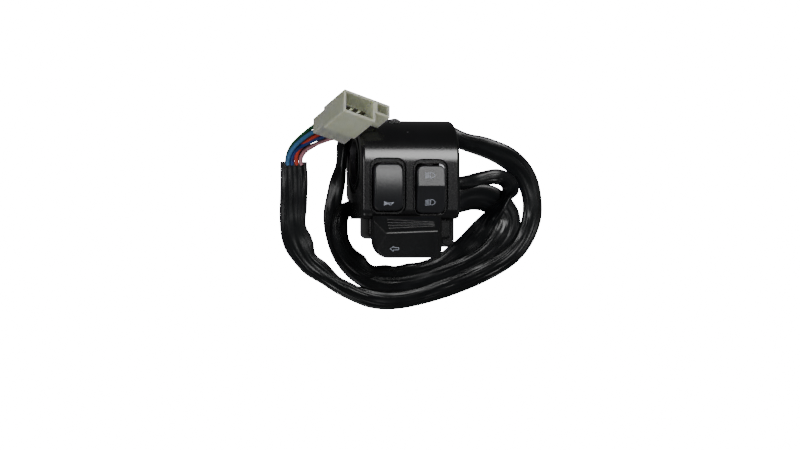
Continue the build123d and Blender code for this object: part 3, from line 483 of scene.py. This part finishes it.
def mesh_object(
    name: str, vertices: Sequence, faces: Sequence, finish: Finish, smooth: bool = True
) -> bpy.types.Object:
    """Makes a mesh object in the scene.

    Args:
        name: name of the piece.
        vertices: places in metres.
        faces: tuples of vertex numbers.
        finish: finish of the whole piece.
        smooth: whether its faces are shaded smooth.

    Returns:
        The new object.
    """
    mesh = bpy.data.meshes.new(name)
    mesh.from_pydata([tuple(v) for v in vertices], [], faces)
    mesh.update()
    for polygon in mesh.polygons:
        polygon.use_smooth = smooth
    thing = bpy.data.objects.new(name, mesh)
    bpy.context.scene.collection.objects.link(thing)
    paints.dress(thing, finish)
    return thing


def nurbs_curve(name: str, points: Sequence[Point], resolution: int) -> bpy.types.Object:
    """Makes a clamped quadratic NURBS curve in the scene.

    Args:
        name: name of the curve.
        points: control points in metres.
        resolution: steps for each control point.

    Returns:
        The curve's object.
    """
    curve = bpy.data.curves.new(name, "CURVE")
    curve.dimensions = "3D"
    curve.resolution_u = resolution
    spline = curve.splines.new("NURBS")
    spline.points.add(len(points) - 1)
    for target, point in zip(spline.points, points):
        target.co = (*point, 1.0)
    spline.order_u = 3
    spline.use_endpoint_u = True
    thing = bpy.data.objects.new(name, curve)
    bpy.context.scene.collection.objects.link(thing)
    return thing


def spline_line(name: str, points: Sequence[Point], resolution: int) -> list[Vector]:
    """Points along a clamped quadratic NURBS with the given control points.

    Args:
        name: name of the scratch curve.
        points: control points in metres.
        resolution: steps for each control point.

    Returns:
        The points of the line, in order.
    """
    holder = nurbs_curve(name, points, resolution)
    bpy.context.view_layer.update()
    mesh = bpy.data.meshes.new_from_object(holder)
    line = [vertex.co.copy() for vertex in mesh.vertices]
    curve = holder.data
    bpy.data.meshes.remove(mesh)
    bpy.data.objects.remove(holder)
    bpy.data.curves.remove(curve)
    return line


def frame_slot(node: str) -> str:
    """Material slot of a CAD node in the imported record."""
    for entry in frame["record"]["subparts"]:
        if entry["node"] == node:
            return entry["material_slot"]
    raise KeyError(node)


def frame_body(node: str) -> str:
    """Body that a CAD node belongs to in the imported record."""
    for body, nodes in frame["record"]["behaviour"]["bodies"].items():
        if node in nodes:
            return body
    raise KeyError(node)


def wave(x: float, y: float, z: float) -> float:
    """Smooth noise from about -1 to 1."""
    return noise.noise(Vector((x, y, z)))


# Lead


@dataclass(frozen=True)
class Station:
    """A point of the sleeve's route and the sleeve's form there."""

    place: Point
    width: float
    thickness: float
    roll: float
    pleat: float
    ruffle: float = 0.0


LEAD_ROUTE = (
    Station((0.0208, -0.0104, -0.0148), 0.0062, 0.0060, 0, 0.0),
    Station((0.0332, -0.0102, -0.0148), 0.0068, 0.0052, 0, 0.1),
    Station((0.0452, -0.0072, -0.017), 0.0074, 0.0042, 0, 0.1),
    Station((0.0558, -0.0058, -0.0166), 0.0082, 0.0034, 0, 0.2),
    Station((0.0606, -0.0112, -0.014), 0.0090, 0.0030, -8, 0.3),
    Station((0.0568, -0.0182, -0.0102), 0.0082, 0.0030, -80, 0.3),
    Station((0.0494, -0.0252, -0.0094), 0.0092, 0.0030, -48, 0.4),
    Station((0.0432, -0.035, -0.013), 0.0110, 0.0032, -8, 0.9),
    Station((0.034, -0.0442, -0.017), 0.0100, 0.0034, 8, 0.9),
    Station((0.0206, -0.0526, -0.01735), 0.0094, 0.0036, 10, 0.5),
    Station((0.006, -0.056, -0.01735), 0.0092, 0.0036, 10, 0.2, 0.5),
    Station((-0.008, -0.056, -0.0171), 0.0090, 0.0036, 8, 0.2, 0.9),
    Station((-0.0194, -0.0522, -0.015), 0.0094, 0.0036, -4, 0.4, 1.4),
    Station((-0.0276, -0.0432, -0.0142), 0.0084, 0.0036, -6, 0.4, 1.6),
    Station((-0.0296, -0.0312, -0.0144), 0.0084, 0.0038, -6, 0.3, 1.0),
    Station((-0.0264, -0.0218, -0.0158), 0.0080, 0.0040, 0, 0.2),
    Station((-0.012, -0.0236, -0.0172), 0.0078, 0.0048, 0, 0.1),
    Station((0.006, -0.0235, -0.01735), 0.0078, 0.0050, 0, 0.1),
    Station((0.0256, -0.0235, -0.01735), 0.0090, 0.0044, 0, 0.1),
    Station((0.0366, -0.0166, -0.01735), 0.0128, 0.0034, -8, 0.1),
    Station((0.0506, -0.0168, -0.01735), 0.0140, 0.0030, -10, 0.1),
    Station((0.061, -0.026, -0.01735), 0.0130, 0.0030, -2, 0.6),
    Station((0.0576, -0.037, -0.01735), 0.0134, 0.0032, 8, 1.0),
    Station((0.0464, -0.047, -0.01735), 0.0114, 0.0034, 12, 1.0),
    Station((0.0296, -0.0552, -0.01735), 0.0100, 0.0034, 12, 0.6),
    Station((0.008, -0.0614, -0.01735), 0.0094, 0.0034, 10, 0.3),
    Station((-0.009, -0.062, -0.01735), 0.0090, 0.0034, 8, 0.2),
    Station((-0.0204, -0.0556, -0.0176), 0.0086, 0.0036, 6, 0.3),
    Station((-0.029, -0.0448, -0.0178), 0.0086, 0.0038, 4, 0.3),
    Station((-0.0329, -0.029, -0.0178), 0.0088, 0.0038, 0, 0.2),
    Station((-0.0304, -0.013, -0.0172), 0.0082, 0.0040, 24, 0.2),
    Station((-0.0275, 0.0, -0.0164), 0.0074, 0.0040, 76, 0.2),
    Station((-0.0272, 0.0126, -0.0168), 0.0072, 0.0042, 60, 0.2),
    Station((-0.0206, 0.0186, -0.01735), 0.0070, 0.0050, 0, 0.1),
    Station((-0.005, 0.0172, -0.01735), 0.0068, 0.0052, 0, 0.1),
    Station((0.013, 0.0172, -0.01735), 0.0070, 0.0050, 0, 0.1),
    Station((0.027, 0.0168, -0.01735), 0.0086, 0.0044, 0, 0.1),
    Station((0.0356, 0.0116, -0.01735), 0.0092, 0.0036, -10, 0.1),
    Station((0.048, 0.0088, -0.01735), 0.0108, 0.0034, -12, 0.1),
    Station((0.0602, 0.0034, -0.01735), 0.0116, 0.0034, -12, 0.1),
    Station((0.0698, -0.0056, -0.01735), 0.0110, 0.0032, -8, 0.1),
    Station((0.0732, -0.0198, -0.01735), 0.0100, 0.0032, -4, 0.2),
    Station((0.0714, -0.0326, -0.01735), 0.0100, 0.0032, 6, 0.8),
    Station((0.0649, -0.0436, -0.01735), 0.0100, 0.0034, 8, 1.0),
    Station((0.0518, -0.053, -0.01735), 0.0100, 0.0034, 10, 1.0),
    Station((0.0332, -0.061, -0.01735), 0.0100, 0.0034, 10, 0.8),
    Station((0.011, -0.0684, -0.01735), 0.0092, 0.0034, 10, 0.3),
    Station((-0.01, -0.0696, -0.01735), 0.0092, 0.0034, 8, 0.3),
    Station((-0.0226, -0.0646, -0.01735), 0.0090, 0.0036, 4, 0.4, 0.4),
    Station((-0.0336, -0.0584, -0.01735), 0.0090, 0.0036, 0, 0.4, 0.6),
    Station((-0.0442, -0.05, -0.01735), 0.0124, 0.0038, 0, 0.4, 1.0),
    Station((-0.0506, -0.0392, -0.01735), 0.0144, 0.0038, 0, 0.5, 1.2),
    Station((-0.0524, -0.027, -0.01735), 0.0138, 0.0042, 0, 0.7, 0.7),
    Station((-0.052, -0.0136, -0.01735), 0.0138, 0.0044, 0, 1.0, 0.4),
    Station((-0.0519, 0.0008, -0.01735), 0.0142, 0.0048, 0, 1.0, 0.2),
)


@dataclass
class SleevedLead:
    """Flattened vinyl sleeve of the lead, from the grommet to its open end."""

    body: str = "casing"
    around: int = 88
    step: float = 0.0009
    skin: float = 0.0005
    mouth_depth: float = 0.006
    crease_depth: float = 0.0011
    rumple_depth: float = 0.00022
    floor_gap: float = 0.0001
    floor_skim: float = 0.00004
    spline_steps: int = 14
    lying_from: float = -0.0150
    lying_span: float = 0.0020
    settle_reach: int = 4
    path_stride: int = 5
    flat_from: float = 1.1
    flat_span: float = 0.7
    swell: float = 0.04
    sway: float = 0.3 * MM
    ruffle_gain: float = 2.4
    exit: Point = (0.0281, -0.0104, -0.0148)

    def build(self) -> bpy.types.Object:
        """Returns:
            The sleeve.
        """
        places = [station.place for station in LEAD_ROUTE]
        line = spline_line("lead_route", places, self.spline_steps)
        centres, params, total = self._sample(line)
        rings, middles = self._rings(centres, params, total)
        sleeve = self._skin_mesh(rings, total)
        widths = [station.width for station in LEAD_ROUTE]
        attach(sleeve, self.body)
        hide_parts("cable_sleeve")
        sum(widths) / len(widths)
        log.info("sleeve: %.1f mm long, %d rings", total / MM, len(rings))
        return sleeve

    def _sample(self, line: Sequence[Vector]) -> tuple[list[Vector], list[float], float]:
        """Evenly spaced places along the line.

        Args:
            line: points of the spline.

        Returns:
            The places, their control-point parameters and the whole length.
        """
        spans = len(LEAD_ROUTE) - 2
        lengths = [0.0]
        for before, after in zip(line, line[1:]):
            lengths.append(lengths[-1] + (after - before).length)
        total = lengths[-1]
        count = int(total / self.step)
        places, params = [], []
        index = 0
        for number in range(count + 1):
            target = total * number / count
            while index < len(line) - 2 and lengths[index + 1] < target:
                index += 1
            share = (target - lengths[index]) / max(lengths[index + 1] - lengths[index], 1e-9)
            places.append(line[index].lerp(line[index + 1], share))
            params.append((index + share) / (len(line) - 1) * spans)
        return places, params, total

    @staticmethod
    def _form(param: float) -> Station:
        """The sleeve's form at a parameter of the spline, with its roll in radians."""
        where = min(max(param + 0.5, 0.0), len(LEAD_ROUTE) - 1.0)
        index = min(int(where), len(LEAD_ROUTE) - 2)
        share = where - index
        share = share * share * (3 - 2 * share)
        first, second = LEAD_ROUTE[index], LEAD_ROUTE[index + 1]
        return Station(
            first.place,
            first.width + (second.width - first.width) * share,
            first.thickness + (second.thickness - first.thickness) * share,
            math.radians(first.roll + (second.roll - first.roll) * share),
            first.pleat + (second.pleat - first.pleat) * share,
            first.ruffle + (second.ruffle - first.ruffle) * share,
        )

    def _rings(
        self, centres: Sequence[Vector], params: Sequence[float], total: float
    ) -> tuple[list[list[Vector]], list[Vector]]:
        """Cross-sections of the sleeve, laid on the floor where the route lies on it.

        Args:
            centres: places along the route.
            params: their spline parameters.
            total: length of the sleeve.

        Returns:
            One ring of points for each place, and the middles of some rings.
        """
        rings, drops = [], []
        up = Vector((0, 0, 1))
        for index, centre in enumerate(centres):
            before = centres[max(index - 2, 0)]
            after = centres[min(index + 2, len(centres) - 1)]
            tangent = (after - before).normalized()
            side = tangent.cross(up).normalized()
            normal = side.cross(tangent).normalized()
            form = self._form(params[index])
            across = side * math.cos(form.roll) + normal * math.sin(form.roll)
            over = normal * math.cos(form.roll) - side * math.sin(form.roll)
            distance = total * index / (len(centres) - 1)
            ring = self._section(centre, across, over, form, distance)
            lowest = min(point.z for point in ring)
            grounded = min(max((self.lying_from - centre.z) / self.lying_span, 0.0), 1.0)
            drop = (FLOOR_Z + self.floor_gap - lowest) * grounded
            drops.append(max(drop, FLOOR_Z + self.floor_gap - lowest))
            rings.append(ring)
        return self._settle(centres, rings, drops)

    def _settle(
        self, centres: Sequence[Vector], rings: list[list[Vector]], drops: Sequence[float]
    ) -> tuple[list[list[Vector]], list[Vector]]:
        """Moves each ring by its neighbourhood's mean drop, so that the sleeve stays smooth.

        Args:
            centres: places along the route.
            rings: cross-sections of the sleeve.
            drops: how far each ring would move to lie on the floor.

        Returns:
            The moved rings, and the middles of some of them.
        """
        settled, middles = [], []
        for index, ring in enumerate(rings):
            near = drops[max(index - self.settle_reach, 0) : index + self.settle_reach + 1]
            shift = Vector((0, 0, sum(near) / len(near)))
            lowest = min(point.z + shift.z for point in ring)
            floor = Vector((0, 0, max(FLOOR_Z + self.floor_skim - lowest, 0.0)))
            settled.append([point + shift + floor for point in ring])
            if index % self.path_stride == 0 or index == len(rings) - 1:
                middles.append(centres[index] + shift)
        return settled, middles

    def _section(
        self, centre: Vector, across: Vector, over: Vector, form: Station, distance: float
    ) -> list[Vector]:
        """One creased cross-section.

        Args:
            centre: middle of the section.
            across: direction of its width, towards the inside of the coil.
            over: direction of its thickness.
            form: the sleeve's form there.
            distance: distance along the sleeve.

        Returns:
            The ring of points.
        """
        flat = min(max((form.width / form.thickness - self.flat_from) / self.flat_span, 0.0), 1.0)
        swell = 1.0 + self.swell * flat * wave(distance * 70.0, 1.3, 9.2)
        sway = self.sway * flat * wave(distance * 60.0, 4.4, 2.2)
        ruffle = form.ruffle * MM * self.ruffle_gain * wave(distance * 105.0, 6.6, 0.7)
        ring = []
        for step in range(self.around):
            angle = 2 * math.pi * step / self.around
            lateral = math.copysign(abs(math.cos(angle)) ** (1.0 - 0.2 * flat), math.cos(angle))
            height = math.copysign(abs(math.sin(angle)) ** (1.0 - 0.5 * flat), math.sin(angle))
            top = 1.0 if height > 0 else -1.0
            streak = wave(distance * 26.0, lateral * 3.0, 3.0 + top)
            fine = wave(distance * 34.0, lateral * 7.0, 11.0 + top)
            crease = (0.35 - abs(streak)) * 0.8 + (0.25 - abs(fine)) * 0.6
            rumple = wave(distance * 90.0, lateral * 1.8, top * 3.0)
            relief = self.crease_depth * form.pleat * crease + self.rumple_depth * rumple * flat
            inner = min(max((lateral + 0.1) / 0.9, 0.0), 1.0) ** 1.5
            reach = lateral * form.width * 0.5 * swell + sway + ruffle * inner
            lift = height * form.thickness * 0.5 + top * relief * abs(height) ** 0.5
            ring.append(centre + across * reach + over * lift)
        return ring

    def _skin_mesh(self, rings: list[list[Vector]], total: float) -> bpy.types.Object:
        """Joins the rings into a closed skin with an open mouth at its far end."""
        coords = [total * index / (len(rings) - 1) for index in range(len(rings))]
        back = max(2, int(self.mouth_depth / self.step))
        outer = len(rings)
        for index in range(outer - 1, outer - 1 - back, -2):
            ring = rings[index]
            middle = sum(ring, Vector()) / len(ring)
            rings.append([point + (middle - point).normalized() * self.skin for point in ring])
            coords.append(coords[index])
        vertices = [point for ring in rings for point in ring]
        count = self.around
        faces = [tuple(range(count - 1, -1, -1))]
        for row in range(len(rings) - 1):
            for column in range(count):
                following = (column + 1) % count
                near, far = row * count, (row + 1) * count
                faces.append((near + column, near + following, far + following, far + column))
        last = (len(rings) - 1) * count
        faces.append(tuple(range(last, last + count)))
        sleeve = mesh_object("lead_sleeve", vertices, faces, Finish.VINYL)
        layer = sleeve.data.uv_layers.new(name="along")
        for loop in sleeve.data.loops:
            row, column = divmod(loop.vertex_index, count)
            share = abs(column / count * 2 - 1)
            layer.data[loop.index].uv = (share, coords[row])
        return sleeve


@dataclass(frozen=True)
class WireRun:
    """One wire between the sleeve and the plug."""

    node: str
    finish: Finish
    points: tuple[Point, ...]


WIRES = (
    WireRun("wire_green", Finish.GREEN, (
        (-0.0554, -0.0007, -0.01855), (-0.056, 0.0064, -0.0156),
        (-0.0486, 0.0156, -0.0018), (-0.0422, 0.0209, 0.0097),
    )),
    WireRun("wire_red", Finish.RED, (
        (-0.053, -0.0007, -0.01855), (-0.0536, 0.0058, -0.0158),
        (-0.0454, 0.0144, -0.0026), (-0.0383, 0.0196, 0.0085),
    )),
    WireRun("wire_maroon", Finish.MAROON, (
        (-0.0506, -0.0007, -0.01855), (-0.0512, 0.0052, -0.0166),
        (-0.0418, 0.0134, -0.0044), (-0.0343, 0.0184, 0.0072),
    )),
    WireRun("wire_black", Finish.BLACK, (
        (-0.0482, -0.0007, -0.01855), (-0.0494, 0.0044, -0.0172),
        (-0.0406, 0.0106, -0.006), (-0.0304, 0.0172, 0.006),
    )),
    WireRun("wire_light_blue", Finish.LIGHT_BLUE, (
        (-0.0554, -0.0007, -0.01615), (-0.0562, 0.0044, -0.0136),
        (-0.0492, 0.0136, 0.0006), (-0.0427, 0.0172, 0.0118),
    )),
    WireRun("wire_orange", Finish.ORANGE, (
        (-0.0507, -0.0007, -0.01615), (-0.0526, 0.0036, -0.0142),
        (-0.0475, 0.0125, -0.0012), (-0.0387, 0.016, 0.0106),
    )),
    WireRun("wire_dark_blue", Finish.DARK_BLUE, (
        (-0.053, -0.0007, -0.01615), (-0.0546, 0.0048, -0.0142),
        (-0.0458, 0.0114, 0.0), (-0.0348, 0.0148, 0.0093),
    )),
    WireRun("wire_rose", Finish.ROSE, (
        (-0.0484, -0.0007, -0.01615), (-0.0502, 0.0034, -0.0146),
        (-0.0436, 0.0101, -0.004), (-0.0309, 0.0136, 0.0081),
    )),
)


@dataclass
class WireBundle:
    """Eight wires from the sleeve's open end to the plug."""

    body: str = "casing"
    diameter: float = 0.0021
    resolution: int = 16
    bevel_resolution: int = 5
    plug_wire: str = "wire_light_blue"
    plug_nodes: tuple[str, ...] = ("plug_housing", "plug_terminals")

    def build(self) -> None:
        for run in WIRES:
            wire = nurbs_curve(run.node + "_skin", run.points, self.resolution)
            wire.data.bevel_depth = self.diameter / 2
            wire.data.bevel_resolution = self.bevel_resolution
            wire.data.use_fill_caps = True
            paints.dress(wire, run.finish)
            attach(wire, self.body)
            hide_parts(run.node)
            frame_slot(run.node)
            carries_plug = run.node == self.plug_wire


# Signs


@dataclass(frozen=True)
class Stroke:
    """A line of a sign, in millimetres on the button."""

    points: tuple[tuple[float, float], ...]
    width: float


@dataclass
class Sign:
    """A printed sign laid on the surface of a CAD piece."""

    name: str
    node: str
    strokes: tuple[Stroke, ...]
    centre: tuple[float, float]
    size: float = 1.0
    lift: float = 0.00004
    thickness: float = 0.00005
    grain: float = 0.0004
    ray_height: float = 0.08

    def build(self) -> bpy.types.Object:
        """Makes the sign's thin solid strokes on the surface."""
        node = frame["nodes"][self.node]
        tree = BVHTree.FromObject(node, bpy.context.evaluated_depsgraph_get())
        vertices: list[Vector] = []
        faces: list[tuple[int, ...]] = []
        for stroke in self.strokes:
            self._add_stroke(stroke, tree, vertices, faces)
        sign = mesh_object(self.name, vertices, faces, Finish.INK, smooth=False)
        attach(sign, frame_body(self.node))
        frame_slot(self.node)
        log.info("%s: %d faces", self.name, len(faces))
        return sign

    def _add_stroke(self, stroke: Stroke, tree: BVHTree, vertices: list, faces: list) -> None:
        """Adds one ribbon with a top, a bottom and sides.

        Args:
            stroke: the line and its width.
            tree: surface that the ribbon lies on.
            vertices: places of the sign so far, extended.
            faces: faces of the sign so far, extended.
        """
        line = []
        for (x0, y0), (x1, y1) in zip(stroke.points, stroke.points[1:]):
            length = math.hypot(x1 - x0, y1 - y0) * MM * self.size
            count = max(1, int(length / self.grain))
            for step in range(count):
                share = step / count
                line.append((x0 + (x1 - x0) * share, y0 + (y1 - y0) * share))
        line.append(stroke.points[-1])
        half = stroke.width / 2
        base = len(vertices)
        for index, (x, y) in enumerate(line):
            before = line[max(index - 1, 0)]
            after = line[min(index + 1, len(line) - 1)]
            dx, dy = after[0] - before[0], after[1] - before[1]
            norm = math.hypot(dx, dy) or 1.0
            side = (-dy / norm * half, dx / norm * half)
            for sign in (1, -1):
                px = (self.centre[0] + (x + sign * side[0]) * self.size) * MM
                py = (self.centre[1] + (y + sign * side[1]) * self.size) * MM
                above = Vector((px, py, self.ray_height))
                hit, normal, _, _ = tree.ray_cast(above, Vector((0, 0, -1)))
                if hit is None:
                    raise ValueError(f"{self.name} leaves its piece at {px:.4f}, {py:.4f}")
                vertices.append(hit + normal * self.lift)
                vertices.append(hit - normal * self.thickness)
        for index in range(len(line) - 1):
            a = base + index * 4
            b = a + 4
            faces.append((a, a + 2, b + 2, b))
            faces.append((a + 1, b + 1, b + 3, a + 3))
            faces.append((a, b, b + 1, a + 1))
            faces.append((a + 2, a + 3, b + 3, b + 2))
        end = base + (len(line) - 1) * 4
        faces.append((base, base + 1, base + 3, base + 2))
        faces.append((end, end + 2, end + 3, end + 1))


RAY_ROWS = (1.2, 0.6, 0.0, -0.6, -1.2)
LENS = Stroke(
    (
        (0.0, 1.35), (0.9, 1.3), (1.7, 0.95), (2.2, 0.45), (2.35, 0.0),
        (2.2, -0.45), (1.7, -0.95), (0.9, -1.3), (0.0, -1.35), (0.0, 1.35),
    ),
    0.3,
)
RAY_WIDTH = 0.26
LOW_RAY_DROP = 0.35
HIGH_BEAM = (LENS,) + tuple(Stroke(((-2.7, y), (-0.5, y)), RAY_WIDTH) for y in RAY_ROWS)
LOW_BEAM = (LENS,) + tuple(
    Stroke(((-2.7, y - LOW_RAY_DROP), (-0.5, y)), RAY_WIDTH) for y in RAY_ROWS
)
HORN = (
    Stroke(((-2.3, 1.05), (-2.3, -1.05)), 0.32),
    Stroke(((-2.2, 0.85), (-1.0, 0.22), (1.4, 0.22), (2.3, 0.6)), 0.34),
    Stroke(((-2.2, -0.85), (-1.0, -0.22), (0.3, -0.3)), 0.34),
    Stroke(((-2.1, 0.35), (-1.0, 0.0), (-2.1, -0.35)), 0.4),
    Stroke(((0.1, -0.2), (0.4, -0.7), (1.2, -0.7), (1.6, -0.1), (2.4, 0.5)), 0.3),
)
ARROW = (
    Stroke(
        (
            (-2.3, 0.0), (-0.4, 1.25), (-0.4, 0.55), (2.1, 0.55),
            (2.1, -0.55), (-0.4, -0.55), (-0.4, -1.25), (-2.3, 0.0),
        ),
        0.34,
    ),
)
SIGNS = (
    Sign("horn_sign", "horn_button", HORN, (-11.8, -20.4)),
    Sign("high_beam_sign", "dimmer_rocker", HIGH_BEAM, (8.9, -6.6)),
    Sign("low_beam_sign", "dimmer_rocker", LOW_BEAM, (9.3, -19.8)),
    Sign("turn_arrow_sign", "turn_paddle", ARROW, (-9.4, -42.6)),
)


# Pieces that keep their CAD shape


NODE_FINISHES = {
    Finish.PAINT: ("front_casing", "rear_casing"),
    Finish.BUTTON: ("horn_button", "dimmer_rocker"),
    Finish.PADDLE: ("turn_paddle",),
    Finish.INNER: (
        "horn_plunger", "horn_cup", "dimmer_tray", "dimmer_slider", "turn_body", "turn_slider",
    ),
    Finish.STEEL: (
        "casing_screws", "switch_screws", "horn_spring", "dimmer_detent_spring", "turn_spring",
        "dimmer_pivot_pin", "dimmer_detent_ball", "turn_pivot_pin",
    ),
    Finish.BRASS: (
        "horn_contact_bridge", "horn_blades", "dimmer_contact", "dimmer_blades",
        "turn_contact", "turn_blades",
    ),
    Finish.TIN: ("plug_terminals",),
    Finish.RUBBER: ("cable_grommet",),
    Finish.NYLON: ("plug_housing",),
}


def dress_nodes() -> None:
    """Gives each CAD piece that stays its finish."""
    for finish, names in NODE_FINISHES.items():
        for name in names:
            paints.dress(frame["nodes"][name], finish)
            log.info("%s: %s", name, finish.name.lower())


# Studio


@dataclass(frozen=True)
class Lamp:
    """A soft rectangular light aimed at the part."""

    name: str
    place: Point
    target: Point
    size: tuple[float, float]
    power: float
    colour: Colour = (1.0, 1.0, 1.0)

    def build(self) -> None:
        """Adds the light to the scene."""
        data = bpy.data.lights.new(self.name, "AREA")
        data.shape = "RECTANGLE"
        data.size, data.size_y = self.size
        data.energy = self.power
        data.color = self.colour
        lamp = bpy.data.objects.new(self.name, data)
        bpy.context.scene.collection.objects.link(lamp)
        lamp.location = self.place
        aim = Vector(self.target) - Vector(self.place)
        lamp.rotation_euler = aim.to_track_quat("-Z", "Y").to_euler()


LAMPS = (
    Lamp("key_soft", (0.25, 0.335, 0.86), (0.0, -0.01, 0.0), (0.34, 0.36), 5.2),
    Lamp("left_soft", (-0.70, 0.10, 0.66), (-0.02, -0.02, 0.0), (0.18, 0.50), 1.6),
    Lamp("right_soft", (0.86, -0.30, 0.55), (0.02, -0.03, 0.0), (0.20, 0.40), 0.35),
    Lamp("front_fill", (-0.30, -0.85, 0.45), (-0.02, 0.0, 0.0), (0.80, 0.40), 1.75),
)


@dataclass
class Studio:
    """Pale floor, soft lights and the camera at the photograph's angle."""

    lens: float = 108.0
    distance: float = 1.2
    yaw: float = 12.5
    target: Point = (-0.00118, -0.031, 0.0)
    floor_size: float = 3.0
    floor_glow: float = 18.0
    sky: float = 0.09

    def build(self) -> None:
        """Makes the floor, the lights, the world and the camera."""
        self._floor()
        self._world()
        for lamp in LAMPS:
            lamp.build()
        self._camera()

    def _floor(self) -> None:
        """Adds the floor, unseen by diffuse, glossy and transmission rays."""
        half = self.floor_size / 2
        signs = ((-1, -1), (1, -1), (1, 1), (-1, 1))
        corners = [(x * half, y * half, FLOOR_Z) for x, y in signs]
        mesh = bpy.data.meshes.new("floor")
        mesh.from_pydata(corners, [], [(0, 1, 2, 3)])
        floor = bpy.data.objects.new("floor", mesh)
        bpy.context.scene.collection.objects.link(floor)
        shader = Shader("pale_floor")
        shader.set(
            Base_Color=(0.9, 0.9, 0.9),
            Roughness=0.9,
            Emission_Color=(1.0, 1.0, 1.0),
            Emission_Strength=self.floor_glow,
        )
        floor.data.materials.append(shader.material)
        floor.visible_diffuse = False
        floor.visible_glossy = False
        floor.visible_transmission = False

    def _world(self) -> None:
        """Sets a dim even sky."""
        world = bpy.data.worlds.new("studio")
        world.use_nodes = True
        background = world.node_tree.nodes["Background"]
        background.inputs["Color"].default_value = (1.0, 1.0, 1.0, 1.0)
        background.inputs["Strength"].default_value = self.sky
        bpy.context.scene.world = world

    def _camera(self) -> None:
        """Adds the camera, yawed to the left of the face's normal."""
        data = bpy.data.cameras.new("camera")
        data.lens = self.lens
        camera = bpy.data.objects.new("camera", data)
        bpy.context.scene.collection.objects.link(camera)
        yaw = math.radians(self.yaw)
        away = Vector((-math.sin(yaw), 0.0, math.cos(yaw)))
        camera.location = Vector(self.target) + away * self.distance
        camera.rotation_euler = (0.0, -yaw, 0.0)
        bpy.context.scene.camera = camera


def main() -> None:
    """Builds the pieces in order and notes the sizes."""
    logging.basicConfig(level=logging.INFO, format="%(message)s")
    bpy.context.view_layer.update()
    dress_nodes()
    SleevedLead().build()
    WireBundle().build()
    for sign in SIGNS:
        sign.build()
    Studio().build()


if __name__ == "__main__":
    main()
